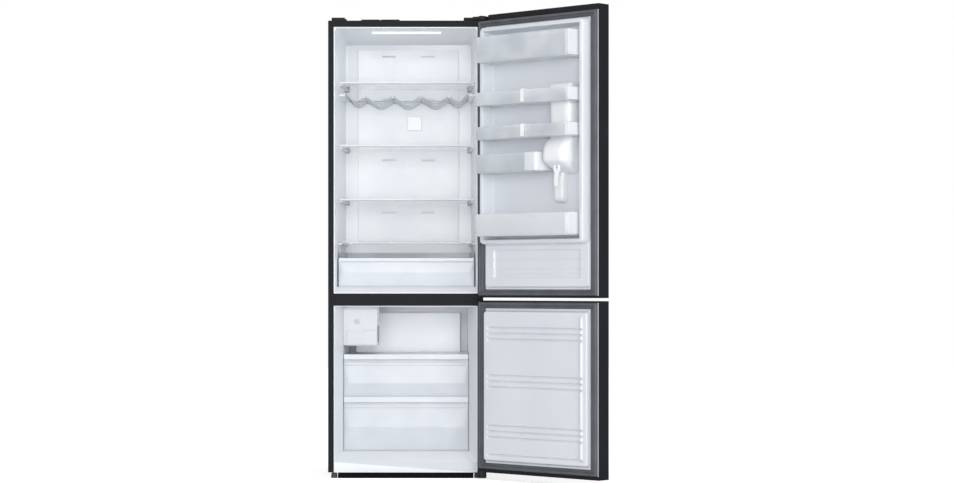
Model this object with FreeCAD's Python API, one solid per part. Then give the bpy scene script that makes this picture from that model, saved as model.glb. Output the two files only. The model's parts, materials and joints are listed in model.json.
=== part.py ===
"""Bottom freezer refrigerator with two doors on right-hand hinges, drawn with both doors open.

Millimetres. Z is up, the origin lies on the floor under the middle of the cabinet's front edge,
X runs to the right and Y runs from the front plane to the back. Door pieces are drawn with the
door shut and are turned about the hinge pins at the end.
"""

import FreeCAD, Part
import math
import os

from FreeCAD import Vector

os.makedirs("parts", exist_ok=True)

# ---- cabinet: overall sizes ----
cabinetWidth = 600.0
cabinetDepth = 588.0
cabinetTop = 1769.0
cabinetBase = 22.0
sheet = 1.0
borderWidth = 22.0
topBorder = 25.0
railBottom = 666.0
railTop = 714.0
railDepth = 24.0

# ---- liners ----
linerWall = 2.5
sideTaper = 20.0
cornerRadius = 14.0
fridgeRearWall = 88.0
ceilingDrop = 15.0
fridgeFloor = 740.0
fridgeSillRun = 60.0
freezerNeckInset = 55.0
freezerRearInset = 60.0
freezerNeckDepth = 60.0
freezerRearWall = 108.0
freezerFloor = 100.0
freezerSillRun = 55.0
freezerSillFoot = 62.0
machineDepth = 215.0
machineHeight = 215.0
machineStep = 40.0

# ---- doors, drawn shut ----
doorThickness = 70.0
gasketThickness = 12.0
gasketWidth = 24.0
gasketInset = 5.0
gasketRelief = 0.5
gasketGrooveInset = 8.0
gasketGrooveWidth = 7.0
gasketGrooveDepth = 3.0
upperDoorBottom = 698.0
upperDoorRise = 15.0
upperGasketBottom = 706.0
upperGasketDrop = 7.0
lowerDoorBottom = 26.0
lowerDoorTop = 687.0
lowerGasketBottom = 40.0
lowerGasketTop = 681.0
doorLinerWall = 2.0
doorOpenAngle = 137.0

# ---- hinges ----
pinInset = 7.0
pinAhead = 21.0
pinRadius = 4.0
pinClearance = 0.05
pinReach = 20.0
hingePlate = 4.0
hingeNose = 10.0
lowerHingeTail = 110.0
middleFlangeLength = 68.0
middleWebLength = 38.0
middleFlangeHalf = 10.0
middleWebDepth = 9.0
lowerHingeLength = 60.0
socketWidth = 24.0
pocketWidth = 50.0
pocketDepth = 36.0
pocketFloor = 3.0
socketDrop = 20.0
capWall = 3.0

# ---- clearances ----
slideGap = 1.0
restGap = 0.3

# ---- fridge shelves and crisper ----
shelfHeights = [1541.0, 1293.0, 1080.0]
crisperCoverHeight = 912.0
shelfFront = 170.0
shelfGlass = 4.0
shelfTrimHeight = 9.0
shelfTrimDepth = 14.0
shelfTrimHold = 6.0
shelfTrimLip = 2.0
ledgeWidth = 12.0
ledgeHeight = 6.0
shelfBackGap = 14.0
shelfSideGap = 3.0
crisperFront = 112.0
crisperWall = 2.5
crisperFrontTop = 852.0
crisperSideTop = 878.0
crisperDip = 40.0
crisperLip = 10.0
crisperLipHeight = 12.0
crisperSideGap = 6.0
crisperCoverThick = 5.0
crisperCoverLead = 20.0
lampHalf = 135.0
lampFront = 118.0
lampWidth = 22.0
lampDrop = 5.0
fridgeDuctHalf = 205.0
fridgeDuctDepth = 9.0
fridgeDuctWall = 2.0
ductSlotX = 80.0
ductSlotHalf = 26.0
ductSlotHeight = 6.0
ductSlotBelow = 38.0
filterLeft = -4.0
filterSize = 57.0
filterMiddle = 1404.0
filterDepth = 7.0

# ---- wave wire rack ----
wireRadius = 2.0
wavePitch = 111.0
waveTrough = 1456.0
wavePeak = 1491.0
waveEnd = 1502.0
waveCount = 5
wavePeaks = 4
waveEndTrough = 203.0
wavePeakRound = 7.0
waveTroughRound = 34.0
waveEndTroughRound = 24.0
waveEndRound = 6.0
waveEndRun = 10.0
waveEndLift = 4.0
rackFront = 178.0
rackBackGap = 24.0
backBarDrop = 8.0
backBarInset = 9.0
rodOvershoot = 3.0

# ---- freezer insides ----
freezerShelfUpper = 470.0
freezerShelfLower = 304.0
freezerShelfThick = 6.0
freezerShelfLip = 20.0
freezerInsideFront = 62.0
freezerShelfStep = 12.0
freezerLedgeGap = 4.0
freezerLipThick = 10.0
drawerStep = 16.0
drawerSideGap = 1.5
drawerRimInset = 4.0
drawerRimDepth = 9.0
drawerRimDrop = 19.0
drawerRimThick = 3.0
upperDrawerTop = 455.0
lowerDrawerTop = 290.0
drawerWall = 2.5
iceBoxInset = 11.0
iceAxisIn = 45.0
iceAxisDown = 58.0
iceTrayHalf = 34.0
iceTrayDepth = 12.0
iceBoxWidth = 122.0
iceBoxDepth = 240.0
iceBoxHeight = 152.0
iceBoxWall = 3.0
iceMouthRise = 12.0
iceMouthInset = 20.0
iceKnobRadius = 9.0
iceKnobThick = 8.0
iceGripHeight = 6.0
iceGripHalf = 2.0
iceShaftRadius = 3.0
iceShaftHold = 5.0
iceTrayInset = 18.0
iceCupRows = 6
iceCupLead = 36.0
iceCupPitch = 34.0
iceCupOffset = 16.0
iceCupHalfX = 14.0
iceCupHalfY = 15.0
iceCupFloor = 2.0
evaporatorRoom = 50.0
ductWall = 3.0
fanX = 0.0
fanZ = 520.0
fanPinRadius = 2.5
fanPinReach = 24.0
fanSeatRadius = 20.0
fanSeat = 6.0
fanThick = 14.0
fanHubRadius = 13.0
fanBlades = 5
fanBladeRoot = 5.0
fanReach = 44.0
fanBladeThick = 3.0
fanBladePitch = 28.0
freezerDuctHalf = 210.0
freezerDuctRise = 8.0
freezerDuctDrop = 30.0
outletCount = 5
outletPitch = 70.0
outletHalf = 28.0
outletInset = 6.0
outletDepth = 22.0
returnRise = 10.0
returnHeight = 5.0
coilLead = 8.0
coilRearGap = 4.0
coilRise = 6.0
coilHeight = 110.0
finCount = 17
finPitch = 20.0
finThick = 1.5
tubeRuns = 5
tubePitch = 20.0
tubeRise = 15.0
tubeRadius = 4.0
coilTubeReach = 8.0

# ---- door bins: bottom and top of each, from the top of the door down ----
binLevels = [(1590.0, 1688.0), (1425.0, 1476.0), (1296.0, 1346.0), (1169.0, 1241.0), (930.0, 1015.0)]
binFront = 90.0
binWall = 2.5
binInset = 31.0
binEndCap = 3.0
shortBinEnd = -82.0
binCorner = 14.0
holderX = -14.0
holderWidth = 16.0
holderWall = 2.0
holderRise = 3.0
holderFoot = 6.0
holderHook = 20.0
holderFingerReach = 44.0
holderFingerWidth = 3.0

# ---- upper door liner ----
dykeCrest = 30.0
dykeInset = 38.0
dykeDraft = 6.0
dykeWidth = 26.0
dykeBottom = 897.0
dykeTopDrop = 2.0
padFootRise = 6.0
recessPlane = -25.0
recessDraft = 4.0
padPlane = -4.0
padRecess = -18.0
padMargin = 34.0
padRecessRise = 14.0
padRecessDraft = 8.0
padRecessSideDraft = 10.0

# ---- lower door liner ----
lowerPadPlane = 8.0
ribWidth = 7.0
ribDepth = 3.0
ribPitch = 22.0
ribGroups = [562.0, 379.0, 187.0]
bottomRib = 98.0
ribInset = 26.0

# ---- water dispenser on the inside of the upper door ----
dispenserRight = -85.0
dispenserLeft = -200.0
dispenserTop = 1500.0
dispenserBottom = 1182.0
dispenserHeadTop = 1290.0
dispenserHeadFront = 72.0
dispenserFront = 32.0
dispenserWall = 2.5
chinRise = 26.0
chinRun = 16.0
chinDrop = 20.0
headSlope = 22.0
headWall = 3.0
chinWall = 4.0
dispenserGap = 3.0
columnWidth = 46.0
columnInset = 8.0
columnTopDrop = 10.0
columnFront = 4.0
columnFoot = 1054.0
leverX = -142.0
leverY = 40.0
leverDrop = 7.0
leverPinRadius = 2.0
leverEyeRadius = 5.0
leverHalf = 9.0
leverEarGap = 10.5
leverEarThick = 3.0
leverEarHalf = 6.0
leverEarLow = 12.0
leverEarHigh = 14.0
leverLength = 62.0
leverBend = 34.0
leverThick = 4.0
leverTipThick = 3.0
leverSwing = 8.0

# ---- base, feet and rollers ----
basePlate = 2.0
footInset = 23.0
footY = 15.0
footRadius = 12.0
footThick = 8.0
footStem = 4.0
stemTop = 40.0
plinthInset = 38.0
plinthDepth = 28.0
rollerRadius = 10.0
rollerWidth = 16.0
rollerInset = 38.0
rollerBack = 28.0
axleRadius = 3.0
earThick = 3.0
earHalf = 8.0
earFoot = 4.0
footNutRadius = 8.0
footNutHeight = 5.0
plinthWall = 3.0

# ---- compressor room ----
compressorRadius = 62.0
compressorHeight = 140.0
compressorX = 110.0
compressorBack = 106.0
compressorRound = 22.0
compressorWall = 4.0
compressorFootX = 85.0
compressorFootY = 50.0
compressorLift = 12.0
compressorPlate = 3.0
mountRadius = 9.0
mountInset = 13.0
coverSheet = 2.0
slotRows = 8
slotColumns = 6
slotPitchX = 90.0
slotPitchZ = 16.0
slotHalf = 32.0
slotHeight = 5.0
slotsFoot = 40.0
inletInset = 65.0
inletHalf = 20.0
inletLow = 10.0
inletHeight = 24.0
inletDepth = 22.0
inletRim = 5.0
inletPinRadius = 1.6
inletPinPitch = 8.0

# ---- covers on the top ----
coverFront = 3.0
coverRear = 92.0
blindCapInset = 13.0
blindCapWidth = 60.0
blindCapHeight = 12.0
blindCapSlope = 11.0
wiringLeft = -172.0
wiringRight = -24.0
wiringMiddle = -98.0
wiringHeight = 5.0
wiringFront = 8.0
wiringRear = 70.0
hingeCoverLength = 76.0
hingeCoverHighLength = 42.0
hingeCoverLow = 12.0
hingeCoverHigh = 17.0
hingePlateRear = 86.0

# ---- worked out from the sizes above ----
halfWidth = cabinetWidth / 2
freezerNeck = halfWidth - freezerNeckInset
freezerRearHalf = halfWidth - freezerRearInset
fridgeDepth = cabinetDepth - fridgeRearWall
freezerDepth = cabinetDepth - freezerRearWall
evaporatorCover = freezerDepth - evaporatorRoom
upperDoorTop = cabinetTop + upperDoorRise
upperGasketTop = cabinetTop - upperGasketDrop
dykeHalf = halfWidth - dykeInset
binHalfWidth = dykeHalf - binInset
lowerRibHalf = dykeHalf - ribInset
footX = halfWidth - footInset
plinthHalf = halfWidth - plinthInset
rollerX = halfWidth - rollerInset
rollerY = cabinetDepth - rollerBack
compressorY = cabinetDepth - compressorBack
inletX = halfWidth - inletInset
lowerHingeLeft = halfWidth - lowerHingeLength
middleFlangeLeft = halfWidth - middleFlangeLength
middleWebLeft = halfWidth - middleWebLength
hingeCoverLeft = halfWidth - hingeCoverLength
hingeCoverStep = halfWidth - hingeCoverHighLength
blindCapLeft = blindCapInset - halfWidth
blindCapRight = blindCapLeft + blindCapWidth
iceBoxLeft = iceBoxInset - freezerNeck
openHalf = halfWidth - borderWidth
fridgeOpenTop = cabinetTop - topBorder
innerHalf = openHalf - linerWall
pinX = halfWidth - pinInset
pinY = -pinAhead
doorFront = -doorThickness
doorBack = -gasketThickness
rackHalf = innerHalf - sideTaper - 4
freezerRear = evaporatorCover - 6
lowerDrawerRear = cabinetDepth - machineDepth - machineStep - 6


def block(x0, x1, y0, y1, z0, z1):
    """A box between two corners."""
    return Part.makeBox(x1 - x0, y1 - y0, z1 - z0, Vector(x0, y0, z0))


def frustum(y0, half0, low0, high0, y1, half1, low1, high1):
    """A box that tapers from one XZ rectangle at y0 to another at y1, centred on x = 0."""
    return Part.makeWedge(-half0, y0, low0, low1, -half1, half0, y1, high0, high1, half1)


def prismZ(points, z0, z1):
    """A flat outline in XY, raised from z0 to z1."""
    corners = [Vector(x, y, z0) for x, y in points]
    face = Part.Face(Part.makePolygon(corners + corners[:1]))
    return face.extrude(Vector(0, 0, z1 - z0))


def prismX(points, x0, x1):
    """A flat outline in YZ, drawn out from x0 to x1."""
    corners = [Vector(x0, y, z) for y, z in points]
    face = Part.Face(Part.makePolygon(corners + corners[:1]))
    return face.extrude(Vector(x1 - x0, 0, 0))


def rod(radius, start, end):
    """A round bar between two points."""
    a = Vector(*start)
    b = Vector(*end)
    return Part.makeCylinder(radius, (b - a).Length, a, b - a)


def fuse(shapes):
    """One solid from pieces that meet, with the seams between flush faces taken out."""
    return shapes[0].fuse(shapes[1:]).removeSplitter()


def export(shape, node):
    shape.exportStep("parts/" + node + ".step")


def exportGroup(shapes, node):
    Part.makeCompound(shapes).exportStep("parts/" + node + ".step")


def openDoor(shape):
    """Turns a piece that was drawn on the shut door to where it stands with the door open."""
    turned = shape.copy()
    turned.rotate(Vector(pinX, pinY, 0), Vector(0, 0, 1), doorOpenAngle)
    return turned


def fridgeWallAt(y):
    """Half the clear width of the fridge compartment at a depth y."""
    return innerHalf - sideTaper * y / fridgeDepth


def freezerWallAt(y):
    """Half the clear width of the freezer compartment at a depth y."""
    if y < freezerNeckDepth:
        return innerHalf - (innerHalf - freezerNeck) * y / freezerNeckDepth
    return freezerNeck - (freezerNeck - freezerRearHalf) * (y - freezerNeckDepth) / (
        freezerDepth - freezerNeckDepth
    )


# ---- cabinet pieces ----


def fridgeSpace(wall):
    """The fridge compartment, grown by a wall on every side but the open front."""
    rear = fridgeDepth + wall
    half = innerHalf + wall
    room = frustum(
        0, half, railTop + linerWall - wall, fridgeOpenTop - linerWall + wall,
        rear, half - sideTaper, railTop + linerWall - wall, fridgeOpenTop - linerWall - ceilingDrop + wall,
    )
    room = roundAlongDepth(room, cornerRadius + wall)
    step = prismX(
        [
            (-1, railTop - wall - 1),
            (rear + 1, railTop - wall - 1),
            (rear + 1, fridgeFloor - wall),
            (fridgeSillRun, fridgeFloor - wall),
            (0, railTop + linerWall - wall),
            (-1, railTop + linerWall - wall),
        ],
        -halfWidth,
        halfWidth,
    )
    return room.cut(step)


def roundAlongDepth(room, radius):
    """Rounds the two upper corners of a compartment that run from front to back."""
    edges = []
    middle = room.BoundBox.Center
    for edge in room.Edges:
        a, b = edge.Vertexes[0].Point, edge.Vertexes[-1].Point
        if abs(a.y - b.y) > room.BoundBox.YLength / 2 and a.z > middle.z:
            edges.append(edge)
    return room.makeFillet(radius, edges)


def freezerSpace(wall):
    """The freezer compartment with its sloping sill and the step over the compressor."""
    rear = freezerDepth + wall
    top = railBottom - linerWall + wall
    right = [(freezerWallAt(y) + wall, y) for y in (0, freezerNeckDepth)]
    right.append((freezerRearHalf + wall, rear))
    left = [(-x, y) for x, y in reversed(right)]
    room = prismZ(right + left, 0, top)
    stepFront = cabinetDepth - machineDepth - machineStep - wall
    stepTop = cabinetBase + machineHeight + machineStep - wall
    sill = prismX(
        [
            (-1, -1),
            (rear + 1, -1),
            (rear + 1, stepTop),
            (stepFront, stepTop),
            (stepFront, freezerFloor - wall),
            (freezerSillRun, freezerFloor - wall),
            (0, freezerSillFoot - wall),
            (-1, freezerSillFoot - wall),
        ],
        -halfWidth,
        halfWidth,
    )
    return room.cut(sill)


def ledges(height, wallAt, front, rear):
    """A pair of shelf ledges that stand out of the side walls, their tops at a height."""
    pair = []
    for side in (-1, 1):
        outline = [
            (side * (wallAt(front) + 1), front),
            (side * (wallAt(rear) + 1), rear),
            (side * (wallAt(rear) - ledgeWidth), rear),
            (side * (wallAt(front) - ledgeWidth), front),
        ]
        pair.append(prismZ(outline, height - ledgeHeight, height))
    return pair


def makeShell():
    """The bent outer wrapper: two sides, the top and the return flanges round the front."""
    outer = block(-halfWidth, halfWidth, 0, cabinetDepth, cabinetBase, cabinetTop)
    inside = block(
        -halfWidth + sheet, halfWidth - sheet, sheet, cabinetDepth + 1, cabinetBase - 1, cabinetTop - sheet
    )
    opening = block(-openHalf, openHalf, -1, sheet + 1, cabinetBase - 1, fridgeOpenTop)
    return outer.cut(inside).cut(opening)


def makeRearPanel():
    """The flat back, from above the compressor room to the top."""
    low = cabinetBase + machineHeight
    panel = block(
        -halfWidth + sheet, halfWidth - sheet, cabinetDepth - sheet, cabinetDepth, low, cabinetTop - sheet
    )
    return panel


def makeMidRail():
    """The folded cross rail between the two openings."""
    rail = block(-openHalf, openHalf, 0, railDepth, railBottom, railTop)
    hollow = block(-openHalf - 1, openHalf + 1, sheet, railDepth + 1, railBottom + sheet, railTop - sheet)
    return rail.cut(hollow)


def makeFridgeLiner():
    """The white formed lining of the fridge, with its shelf ledges."""
    skin = fridgeSpace(linerWall).cut(fridgeSpace(0))
    front = shelfFront + shelfTrimDepth + shelfTrimHold + 2
    rear = fridgeDepth - 1
    rails = []
    for height in shelfHeights + [crisperCoverHeight]:
        rails += ledges(height, fridgeWallAt, front, rear)
    rackTop = waveEnd - wireRadius - restGap
    for side in (-1, 1):
        outline = [
            (side * (fridgeWallAt(front) + 1), front),
            (side * (fridgeWallAt(rear) + 1), rear),
            (side * (rackHalf - ledgeWidth / 2), rear),
            (side * (rackHalf - ledgeWidth / 2), front),
        ]
        rails.append(prismZ(outline, rackTop - ledgeHeight, rackTop))
    return fuse([skin] + rails)


def makeFreezerLiner():
    """The white formed lining of the freezer, with a front flange down to the base."""
    skin = freezerSpace(linerWall).cut(freezerSpace(0))
    flange = block(-openHalf, openHalf, 0, linerWall, cabinetBase, freezerSillFoot)
    rails = []
    for height in (freezerShelfUpper, freezerShelfLower):
        rails += ledges(height, freezerWallAt, freezerInsideFront + 16, freezerDepth - 1)
    return fuse([skin, flange] + rails)


def makeFoam():
    """The insulation between the wrapper and the linings, cut away over the compressor room."""
    low = cabinetBase + basePlate
    body = block(
        -halfWidth + sheet, halfWidth - sheet, sheet, cabinetDepth - sheet, low, cabinetTop - sheet
    )
    machineTop = cabinetBase + machineHeight
    machine = block(-halfWidth, halfWidth, cabinetDepth - machineDepth, cabinetDepth, 0, machineTop)
    rail = block(-openHalf, openHalf, 0, railDepth, railBottom, railTop)
    flange = block(-openHalf, openHalf, 0, linerWall, 0, freezerSillFoot)
    body = body.cut(machine).cut(rail).cut(flange)
    body = body.cut(fridgeSpace(linerWall)).cut(freezerSpace(linerWall))
    for side in (-1, 1):
        body = body.cut(
            rod(footStem + slideGap, (side * footX, footY, 0), (side * footX, footY, stemTop + slideGap))
        )
    return body


# ---- base pieces ----


def makeBasePlate():
    """The steel bottom, with threaded seats for the front feet and ears for the rear rollers."""
    plate = block(
        -halfWidth + sheet, halfWidth - sheet, linerWall,
        cabinetDepth - sheet * 2, cabinetBase, cabinetBase + basePlate
    )
    pieces = [plate]
    for side in (-1, 1):
        for edge in (-1, 1):
            x = side * rollerX + edge * (rollerWidth / 2 + slideGap + earThick / 2)
            pieces.append(
                block(
                    x - earThick / 2, x + earThick / 2, rollerY - earHalf, rollerY + earHalf, earFoot,
                    cabinetBase
                )
            )
        reach = rollerWidth / 2 + slideGap + earThick
        x = side * rollerX
        pieces.append(
            rod(axleRadius, (x - reach, rollerY, rollerRadius), (x + reach, rollerY, rollerRadius))
        )
    base = fuse(pieces)
    for side in (-1, 1):
        base = base.cut(
            rod(footStem + pinClearance, (side * footX, footY, 0), (side * footX, footY, stemTop))
        )
    return base


def makeRollers():
    """The two rear rollers."""
    wheels = []
    for side in (-1, 1):
        start = side * rollerX - rollerWidth / 2
        wheel = rod(
            rollerRadius, (start, rollerY, rollerRadius), (start + rollerWidth, rollerY, rollerRadius)
        )
        end = start + rollerWidth
        bore = rod(
            axleRadius + pinClearance, (start - 1, rollerY, rollerRadius), (end + 1, rollerY, rollerRadius)
        )
        wheels.append(wheel.cut(bore))
    return wheels


def makeFoot(side):
    """One levelling foot: a hexagon-gripped pad on a screw stem."""
    pad = Part.makeCylinder(footRadius, footThick, Vector(side * footX, footY, 0))
    nut = []
    for k in range(6):
        turn = math.radians(60 * k)
        nut.append((side * footX + footNutRadius * math.cos(turn), footY + footNutRadius * math.sin(turn)))
    collar = prismZ(nut, footThick, footThick + footNutHeight)
    stem = Part.makeCylinder(footStem, stemTop - footThick, Vector(side * footX, footY, footThick))
    return fuse([pad, collar, stem])


def makePlinth():
    """The black kick strip between the front feet."""
    strip = block(-plinthHalf, plinthHalf, 0, plinthDepth, 0, cabinetBase)
    hollow = block(
        -plinthHalf + plinthWall, plinthHalf - plinthWall, plinthWall,
        plinthDepth + 1, plinthWall, cabinetBase + 1
    )
    return strip.cut(hollow)


# ---- compressor room ----


def makeCompressor():
    """The sealed round compressor on its foot plate, hollow as a welded can is."""
    low = cabinetBase + basePlate + compressorLift
    can = Part.makeCylinder(compressorRadius, compressorHeight, Vector(compressorX, compressorY, low))
    can = can.makeFillet(compressorRound, [e for e in can.Edges if isinstance(e.Curve, Part.Circle)])
    inner = Part.makeCylinder(
        compressorRadius - compressorWall,
        compressorHeight - 2 * compressorWall,
        Vector(compressorX, compressorY, low + compressorWall),
    )
    inner = inner.makeFillet(
        compressorRound - compressorWall, [e for e in inner.Edges if isinstance(e.Curve, Part.Circle)]
    )
    footLow = low - compressorPlate
    foot = block(
        compressorX - compressorFootX, compressorX + compressorFootX,
        compressorY - compressorFootY, compressorY + compressorFootY, footLow, low,
    )
    weld = Part.makeCylinder(
        compressorRadius - compressorRound, 2 * compressorPlate, Vector(compressorX, compressorY, footLow)
    )
    hull = fuse([can, foot, weld])
    hull = hull.cut(inner)
    legs = []
    for sx in (-1, 1):
        for sy in (-1, 1):
            x = compressorX + sx * (compressorFootX - mountInset)
            y = compressorY + sy * (compressorFootY - mountInset)
            floor = cabinetBase + basePlate
            legs.append(Part.makeCylinder(mountRadius, footLow - floor, Vector(x, y, floor)))
    return fuse([hull] + legs)


def makeMachineCover():
    """The slotted cover behind the compressor room."""
    low = cabinetBase + basePlate
    high = cabinetBase + machineHeight
    cover = block(
        -halfWidth + sheet, halfWidth - sheet, cabinetDepth - coverSheet, cabinetDepth, low, high
    )
    back = cabinetDepth + 1
    front = cabinetDepth - coverSheet - 1
    slots = []
    for row in range(slotRows):
        for column in range(slotColumns):
            x = (column - (slotColumns - 1) / 2) * slotPitchX
            z = low + slotsFoot + row * slotPitchZ
            slots.append(
                block(x - slotHalf, x + slotHalf, front, back, z - slotHeight / 2, z + slotHeight / 2)
            )
    foot = low + inletLow
    inlet = block(inletX - inletHalf, inletX + inletHalf, front, back, foot, foot + inletHeight)
    return cover.cut(Part.makeCompound(slots)).cut(inlet)


def makeInlet():
    """The moulded mains inlet that fills its cut-out in the rear cover."""
    low = cabinetBase + basePlate + inletLow + restGap
    high = low + inletHeight - 2 * restGap
    half = inletHalf - restGap
    front = cabinetDepth - inletDepth
    frame = block(inletX - half, inletX + half, front, cabinetDepth, low, high)
    hollow = block(
        inletX - half + inletRim, inletX + half - inletRim, front + inletRim, cabinetDepth + 1,
        low + inletRim - 1, high - inletRim + 1,
    )
    middle = (low + high) / 2
    pins = []
    for k in (-1, 0, 1):
        x = inletX + k * inletPinPitch
        pins.append(rod(inletPinRadius, (x, front + inletRim - 1, middle), (x, cabinetDepth - 4, middle)))
    return fuse([frame.cut(hollow)] + pins)


# ---- tops and hinges ----


def makeTopCovers():
    """The blind hinge cap at the top left and the low two-lump wiring cover beside it."""
    z = cabinetTop
    crest = z + blindCapHeight
    cap = prismY(
        [
            (blindCapLeft, z),
            (blindCapLeft, crest - 2),
            (blindCapLeft + 2, crest),
            (blindCapRight - blindCapSlope, crest),
            (blindCapRight - 1, z + blindCapHeight / 3),
            (blindCapRight, z),
        ],
        coverFront,
        coverRear,
    )
    lump = z + wiringHeight
    wiring = prismY(
        [
            (wiringLeft, z),
            (wiringLeft, lump),
            (wiringMiddle - 6, lump),
            (wiringMiddle, z + wiringHeight / 2),
            (wiringMiddle + 6, lump),
            (wiringRight, lump),
            (wiringRight, z),
        ],
        wiringFront,
        wiringRear,
    )
    return [cap, wiring]


def prismY(points, y0, y1):
    """A flat outline in XZ, drawn out from y0 to y1."""
    corners = [Vector(x, y0, z) for x, z in points]
    face = Part.Face(Part.makePolygon(corners + corners[:1]))
    return face.extrude(Vector(0, y1 - y0, 0))


def hingeArm(z0, z1, tail):
    """The hinge plate's outline: a tail on the cabinet and a round nose about the pin."""
    nose = Part.makeCylinder(hingeNose, z1 - z0, Vector(pinX, pinY, z0))
    arm = block(pinX - hingeNose, halfWidth - sheet, pinY, tail, z0, z1)
    return fuse([nose, arm]).common(block(0, halfWidth, pinY - hingeNose - 1, tail, z0, z1))


def makeTopHinge():
    """The steel top hinge: a plate on the cabinet top with its pin pointing down."""
    low = cabinetTop
    high = cabinetTop + hingePlate
    plate = hingeArm(low, high, hingePlateRear)
    wide = block(hingeCoverLeft + 4, pinX, coverFront + 3, hingePlateRear, low, high)
    pin = Part.makeCylinder(
        pinRadius, hingePlate + pinReach, Vector(pinX, pinY, high - hingePlate - pinReach)
    )
    return fuse([plate, wide, pin])


def makeHingeCover():
    """The stepped plastic cover over the top hinge."""
    z = cabinetTop
    side = halfWidth - sheet
    body = prismY(
        [
            (hingeCoverLeft, z),
            (hingeCoverLeft, z + hingeCoverLow - 2),
            (hingeCoverLeft + 2, z + hingeCoverLow),
            (hingeCoverStep, z + hingeCoverLow),
            (hingeCoverStep + 2, z + hingeCoverHigh - 2),
            (side - 3, z + hingeCoverHigh),
            (side, z + hingeCoverHigh - 3),
            (side, z),
        ],
        coverFront,
        coverRear,
    )
    clear = z + hingePlate + restGap
    room = block(hingeCoverLeft + 3, halfWidth, coverFront - 1, coverRear - 3, z - 1, clear)
    nose = hingeArm(clear, z + hingeCoverHigh - 2, coverFront)
    return fuse([body.cut(room), nose])


def makeMiddleHinge():
    """The steel hinge between the doors, screwed to the mid rail, with a pin each way."""
    gap = (upperDoorBottom + lowerDoorTop) / 2
    low = gap - hingePlate / 2
    high = gap + hingePlate / 2
    side = halfWidth - sheet
    flange = block(middleFlangeLeft, side, -hingePlate, 0, gap - middleFlangeHalf, gap + middleFlangeHalf)
    nose = hingeArm(low, high, 0)
    web = block(middleWebLeft, side, -middleWebDepth, 0, low, high)
    pin = Part.makeCylinder(pinRadius, 2 * pinReach + hingePlate, Vector(pinX, pinY, low - pinReach))
    return fuse([flange, nose, web, pin])


def makeLowerHinge():
    """The steel hinge below the freezer door, bent in under the cabinet, its pin pointing up."""
    high = cabinetBase
    low = high - hingePlate
    plate = hingeArm(low, high, 0)
    beside = block(footX + footRadius + 1, halfWidth - sheet, -1, lowerHingeTail, low, high)
    front = block(pinX - hingeNose, halfWidth - sheet, -1, 2, low, high)
    behind = block(lowerHingeLeft, halfWidth - sheet, footY + footRadius + 4, lowerHingeTail, low, high)
    pin = Part.makeCylinder(pinRadius, hingePlate + pinReach, Vector(pinX, pinY, low))
    return fuse([plate, beside, front, behind, pin])


# ---- inside the fridge ----


def makeLampLens():
    """The long clear cover of the ceiling lamp."""
    slope = ceilingDrop / fridgeDepth
    front = fridgeOpenTop - linerWall - slope * lampFront
    rear = front - slope * lampWidth
    return block(-lampHalf, lampHalf, lampFront, lampFront + lampWidth, front - lampDrop, rear - restGap)


def makeFridgeDuct():
    """The air duct panel down the back wall, with its outlet slots."""
    rear = fridgeDepth - restGap
    front = rear - fridgeDuctDepth
    wall = fridgeDuctWall
    low = crisperCoverHeight + crisperCoverThick + 7
    high = fridgeOpenTop - linerWall - ceilingDrop - 22
    panel = block(-fridgeDuctHalf, fridgeDuctHalf, front, rear, low, high)
    room = block(
        -fridgeDuctHalf + wall, fridgeDuctHalf - wall, front + wall, rear + 1, low + wall, high - wall
    )
    slots = []
    for z in [high - ductSlotX / 3] + [height - ductSlotBelow for height in shelfHeights]:
        for x in (-ductSlotX, ductSlotX):
            slots.append(
                block(
                    x - ductSlotHalf, x + ductSlotHalf, front - 1, front + wall + 1,
                    z - ductSlotHeight / 2, z + ductSlotHeight / 2,
                )
            )
    return panel.cut(room).cut(Part.makeCompound(slots))


def makeFilterCover():
    """The small square white cover on the duct panel."""
    rear = fridgeDepth - restGap - fridgeDuctDepth
    cover = block(
        filterLeft, filterLeft + filterSize, rear - filterDepth, rear,
        filterMiddle - filterSize / 2, filterMiddle + filterSize / 2,
    )
    return cover.makeFillet(3, [e for e in cover.Edges if abs(e.tangentAt(e.FirstParameter).y) > 0.9])


def shelfOutline(front, rear, wallAt, gap):
    """A shelf's outline, which follows the taper of the side walls."""
    return [
        (-(wallAt(front) - gap), front),
        (wallAt(front) - gap, front),
        (wallAt(rear) - gap, rear),
        (-(wallAt(rear) - gap), rear),
    ]


def makeShelf(height):
    """A glass shelf and its front trim, lying on the ledges."""
    rear = fridgeDepth - shelfBackGap
    low = height + restGap
    front = shelfFront + shelfTrimDepth
    glass = prismZ(shelfOutline(front, rear, fridgeWallAt, shelfSideGap), low, low + shelfGlass)
    foot = low - shelfTrimLip
    outline = shelfOutline(shelfFront, front + shelfTrimHold, fridgeWallAt, shelfSideGap - 1)
    trim = prismZ(outline, foot, foot + shelfTrimHeight)
    groove = shelfOutline(front, front + shelfTrimHold + 1, fridgeWallAt, shelfSideGap - 2)
    return glass, trim.cut(prismZ(groove, low, low + shelfGlass))


def makeCrisperCover():
    """The glass shelf that covers the crisper drawer."""
    rear = fridgeDepth - shelfBackGap
    low = crisperCoverHeight + restGap
    outline = shelfOutline(shelfFront - crisperCoverLead, rear, fridgeWallAt, shelfSideGap)
    return prismZ(outline, low, low + crisperCoverThick)


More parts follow.
